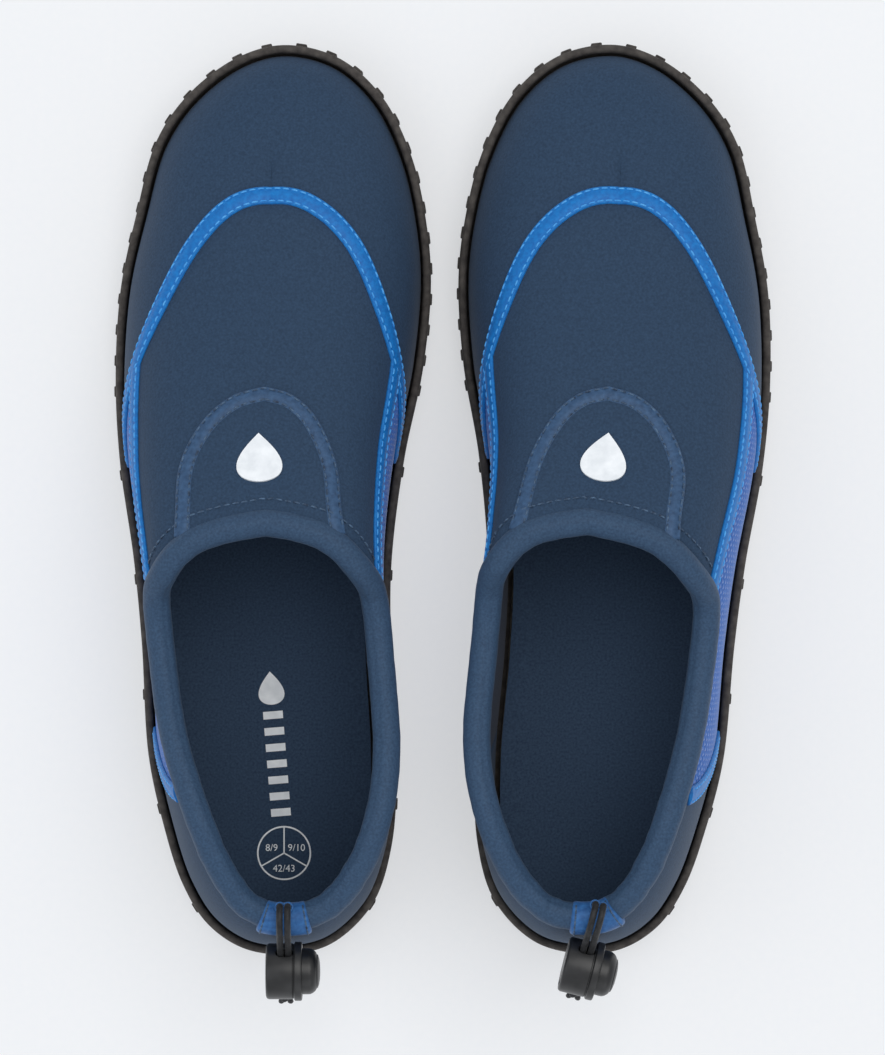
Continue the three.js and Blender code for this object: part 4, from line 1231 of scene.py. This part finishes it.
def eased(path, reach):
    """A closed path with its corners rounded over about that length."""
    step = running_length(path)[-1] / (len(path) - 1)
    offsets = np.arange(-int(2.5 * reach / step), int(2.5 * reach / step) + 1)
    weights = np.exp(-((offsets * step / reach) ** 2))
    weights = weights / weights.sum()
    return sum(weight * np.roll(path, offset, 0) for offset, weight in zip(offsets, weights))


def collar_roll(shoe):
    """Stuffed binding round the opening, with the small gathers of its elastic."""
    rng = np.random.default_rng(7 if shoe["mirrored"] else 3)
    places = shoe["tab"] + 0.003 + np.linspace(0, 1.994, COLLAR_STEPS)
    centre, across, up = collar_frames(shoe, places)
    centre = eased(centre, 5)
    lengths = running_length(centre)
    turn = full_turn(36)
    heel = np.exp(-((np.minimum(lengths, lengths[-1] - lengths) / 38) ** 2))
    ripple = np.zeros((len(lengths), len(turn)))
    for wave, depth in ((17, 0.05), (9.5, 0.05), (5.2, 0.035)):
        phase, twist = rng.uniform(0, 2 * np.pi), rng.integers(1, 3)
        ripple += depth * np.sin(2 * np.pi * lengths[:, None] / wave + twist * turn + phase)
    ripple *= 0.5 + 1.6 * heel[:, None]
    tucked = 0.35 * np.exp(-(((np.cos(turn) + 0.42) / 0.12) ** 2))
    radius = COLLAR_RADIUS + ripple - tucked
    return tube(rings_round(centre, across, up, radius, turn))


TAB_HALF = 0.033


def heel_tab(shoe):
    ends = np.array([0, 0.25, 0.6, 1.1, 1.6])
    lengths = np.concatenate([ends, np.linspace(2.4, 16, 16), 18.4 - ends[::-1]]) / 18.4
    places = shoe["tab"] + TAB_HALF * (2 * lengths - 1)
    radius = np.concatenate([[4.2, 4.75, 5.0, 5.12, 5.14], np.full(16, 5.1), [5.14, 5.12, 5.0, 4.75, 4.2]])
    centre, across, up = collar_frames(shoe, places)
    return tube(rings_round(centre, across, up, radius[:, None], full_turn(40)))


def tab_stitches(shoe):
    """A ring of stitches at each end of the tab, over the part that shows."""
    parts = []
    turn = np.linspace(-1.9, 1.9, 12)
    for sign in (-1, 1):
        place = np.array([shoe["tab"] + sign * TAB_HALF * 0.84])
        centre, across, up = collar_frames(shoe, place)
        along = np.cross(across[0], up[0])
        for angle in turn:
            at = angle + np.linspace(-0.2, 0.2, 6)
            radius = 5.12 + np.array([-0.3, -0.02, 0.08, 0.08, -0.02, -0.3])
            spine = centre[0] + radius[:, None] * (
                np.cos(at)[:, None] * across[0] + np.sin(at)[:, None] * up[0]
            )
            out = np.cos(angle) * across[0] + np.sin(angle) * up[0]
            around = full_turn(6)
            ring = 0.26 * (np.cos(around)[:, None] * along + np.sin(around)[:, None] * out)
            parts.append(tube(spine[:, None] + ring[None]))
    return joined(parts)


def eyelets(shoe):
    """Rolled edges of the two holes that the strands come out of."""
    parts = []
    for side in (-1, 1):
        route = strand_route(side)
        centre, ahead = route[2], route[4] - route[1]
        ahead = unit(ahead)
        first = np.cross(ahead, [1.0, 0, 0])
        first = unit(first)
        second = np.cross(ahead, first)
        turn = np.linspace(0, 2 * np.pi, 25)
        out = np.cos(turn)[:, None] * first + np.sin(turn)[:, None] * second
        around = full_turn(10)[None, :, None]
        wire = np.cos(around) * out[:, None] + np.sin(around) * ahead
        parts.append(tube(centre + 1.35 * out[:, None] + 0.36 * wire))
    points, faces = joined(parts)
    return cord_to_shoe(shoe, points), faces

# ------------------------------------------------------------------ the print on the insole


def flat_plate(outline, hole=None, low=0.0, high=0.12):
    """A thin plate of ink on the insole from an outline of (x, y), or a band with a hole."""
    outline = np.asarray(outline, float)
    if hole is None:
        rings = [np.column_stack([outline, COVER_HIGH + lift + 0 * outline[:, 0]]) for lift in (low, high)]
        return tube(np.stack(rings))
    hole = np.asarray(hole, float)
    loops = [(outline, low), (outline, high), (hole, high), (hole, low)]
    rings = np.stack([np.column_stack([p, COVER_HIGH + lift + 0 * p[:, 0]]) for p, lift in loops])
    ids = np.arange(4 * len(outline)).reshape(4, -1)
    return rings.reshape(-1, 3), quads(np.vstack([ids, ids[:1]]), closed=True).tolist()


def numbers(text, size, place):
    """Size numbers as thin plates: (points, faces) in the shoe's frame."""
    curve = bpy.data.curves.new("numbers", "FONT")
    curve.body = text
    curve.size = size
    curve.align_x = "CENTER"
    curve.align_y = "CENTER"
    curve.extrude = 0.06
    curve.resolution_u = 3
    blank = placed("numbers", curve)
    points, faces = evaluated(blank)
    bpy.data.objects.remove(blank)
    return points + np.array([*place, COVER_HIGH + curve.extrude]), faces


def insole_print():
    """A plain drop, a row of plain bars and a ring with three size numbers."""
    centre, radius = np.array([3.9, 31.7]), 8.5
    turn = full_turn(72)
    circle = np.stack([np.cos(turn), np.sin(turn)], -1)
    parts = [flat_plate(centre + radius * circle, centre + (radius - 0.5) * circle)]
    for angle in (90, 210, 330):
        ahead = np.array([math.cos(math.radians(angle)), math.sin(math.radians(angle))])
        aside = 0.22 * np.array([-ahead[1], ahead[0]])
        ends = [centre + aside, centre - aside, centre + 8.1 * ahead - aside, centre + 8.1 * ahead + aside]
        parts.append(flat_plate(ends, high=0.1))
    lean = math.radians(4.6)
    for text, place in (("8/9", (-3.9, 1.6)), ("9/10", (3.9, 1.6)), ("42/43", (0, -4.9))):
        parts.append(numbers(text, 3.1, centre + np.array(place)))
    axis = np.array([-math.sin(lean), math.cos(lean)])
    cross = np.array([math.cos(lean), math.sin(lean)])
    start = np.array([3.0, 43.2])
    for k in range(7):
        middle = start + axis * (1.3 + 5.1 * k)
        corners = [(-3.1, -1.2), (3.1, -1.2), (3.1, 1.2), (-3.1, 1.2)]
        parts.append(flat_plate([middle + a * cross + b * axis for a, b in corners]))
    drop = drop_outline(10.5, 8.5)
    place = np.array([-0.2, 83.5])
    parts.append(flat_plate(place + drop[:, :1] * axis + drop[:, 1:] * cross))
    return joined(parts)


# ------------------------------------------------------------------ both shoes

STITCH_LIFT = 1.18  # of the thread, over the upper, where it runs on a tape
TAPE_ROWS, CAP_ROWS = (-2.05, 2.05), (-1.78, 1.78)  # the rows' places across a tape


def side_of_shoe(shoe, label, side):
    """The net, the lining behind it, and the tapes along its top and heel edges."""
    net = solidified(*mesh_fabric(shoe, side), 0.7, 0.05)
    shoe_piece(shoe, f"net_{label}", net, "mesh", [f"mesh_panel_{label}"], weld=0)
    wall = soft_sheet(shoe, over_ridge, *side_edges(shoe, side), 24, 90, -NEOPRENE, -1.5)
    shoe_piece(shoe, f"wall_{label}", wall, "lining", [f"mesh_lining_{label}"])
    rows = []
    for edge, line in (("top", top_line(shoe, side)), ("heel", heel_line(side))):
        ribbon = tape(shoe, over_ridge, line, TAPE_WIDTH)
        shoe_piece(shoe, f"{edge}_tape_{label}", ribbon, "blue_tape", [f"{edge}_trim_{label}"])
        rows += [stitches(shoe, over_ridge, line, off, STITCH_LIFT) for off in TAPE_ROWS]
    shoe_piece(shoe, f"side_stitches_{label}", joined(rows), "blue_thread")


def vamp_tapes(shoe):
    """The blue arc behind the toe, and the navy arch on the instep, with their stitches."""
    arc = crossing_line([(0.533, 6), *ARC_SEAM[2:]])
    ribbon = tape(shoe, over_ridge, arc, TAPE_WIDTH, 320)
    shoe_piece(shoe, "arc_tape", ribbon, "blue_tape", ["arc_trim"])
    rows = [stitches(shoe, over_ridge, arc, off, STITCH_LIFT) for off in TAPE_ROWS]
    shoe_piece(shoe, "arc_stitches", joined(rows), "blue_thread")
    cap = crossing_line(CAP_LEGS)
    ribbon = tape(shoe, over_ridge, cap, CAP_WIDTH, 240)
    shoe_piece(shoe, "cap_tape", ribbon, "navy_tape", ["cap_trim"])
    rows = [stitches(shoe, over_ridge, cap, off, STITCH_LIFT) for off in CAP_ROWS]
    edge = collar_edge(shoe, 6.5)
    rows.append(stitches(shoe, over_ridge, lambda s: edge(0.02 + 0.96 * s), 0, 0.5))
    rows.append(stitches(shoe, over_ridge, lambda s: edge(0.2 + 0.6 * s), 0, 1.22))
    shoe_piece(shoe, "cap_stitches", joined(rows), "navy_thread")


for shoe in SHOES:
    sole = outsole(shoe)
    insole(shoe)
    toe = shoe_piece(shoe, "toe_cloth", toe_panel(shoe), "neoprene", ["toe_panel"])
    vamp = shoe_piece(shoe, "instep_cloth", instep_panel(shoe), "neoprene", ["instep_panel"])
    heel = shoe_piece(shoe, "heel_cloth", heel_panel(shoe), "neoprene", ["heel_panel"])
    side_of_shoe(shoe, "inner", 1)
    side_of_shoe(shoe, "outer", -1)
    vamp_tapes(shoe)
    shoe_piece(shoe, "patch", instep_patch(shoe), "neoprene", ["instep_patch"])
    shoe_piece(shoe, "drop_badge", badge(shoe), "print", ["badge"], sharp=50)
    roll = shoe_piece(shoe, "collar_roll", collar_roll(shoe), "binding",
                      ["collar_binding", "drawcord"], sharp=60)
    shoe_piece(shoe, "tab", heel_tab(shoe), "tab", ["heel_tab"], sharp=60)
    shoe_piece(shoe, "tab_stitches", tab_stitches(shoe), "navy_thread")
    shoe_piece(shoe, "eyelets", eyelets(shoe), "tab")

ink = insole_print()
add_piece("left_insole_print", to_world(SHOES[0], ink[0]), ink[1], "print", "left_shoe",
          smooth=False)
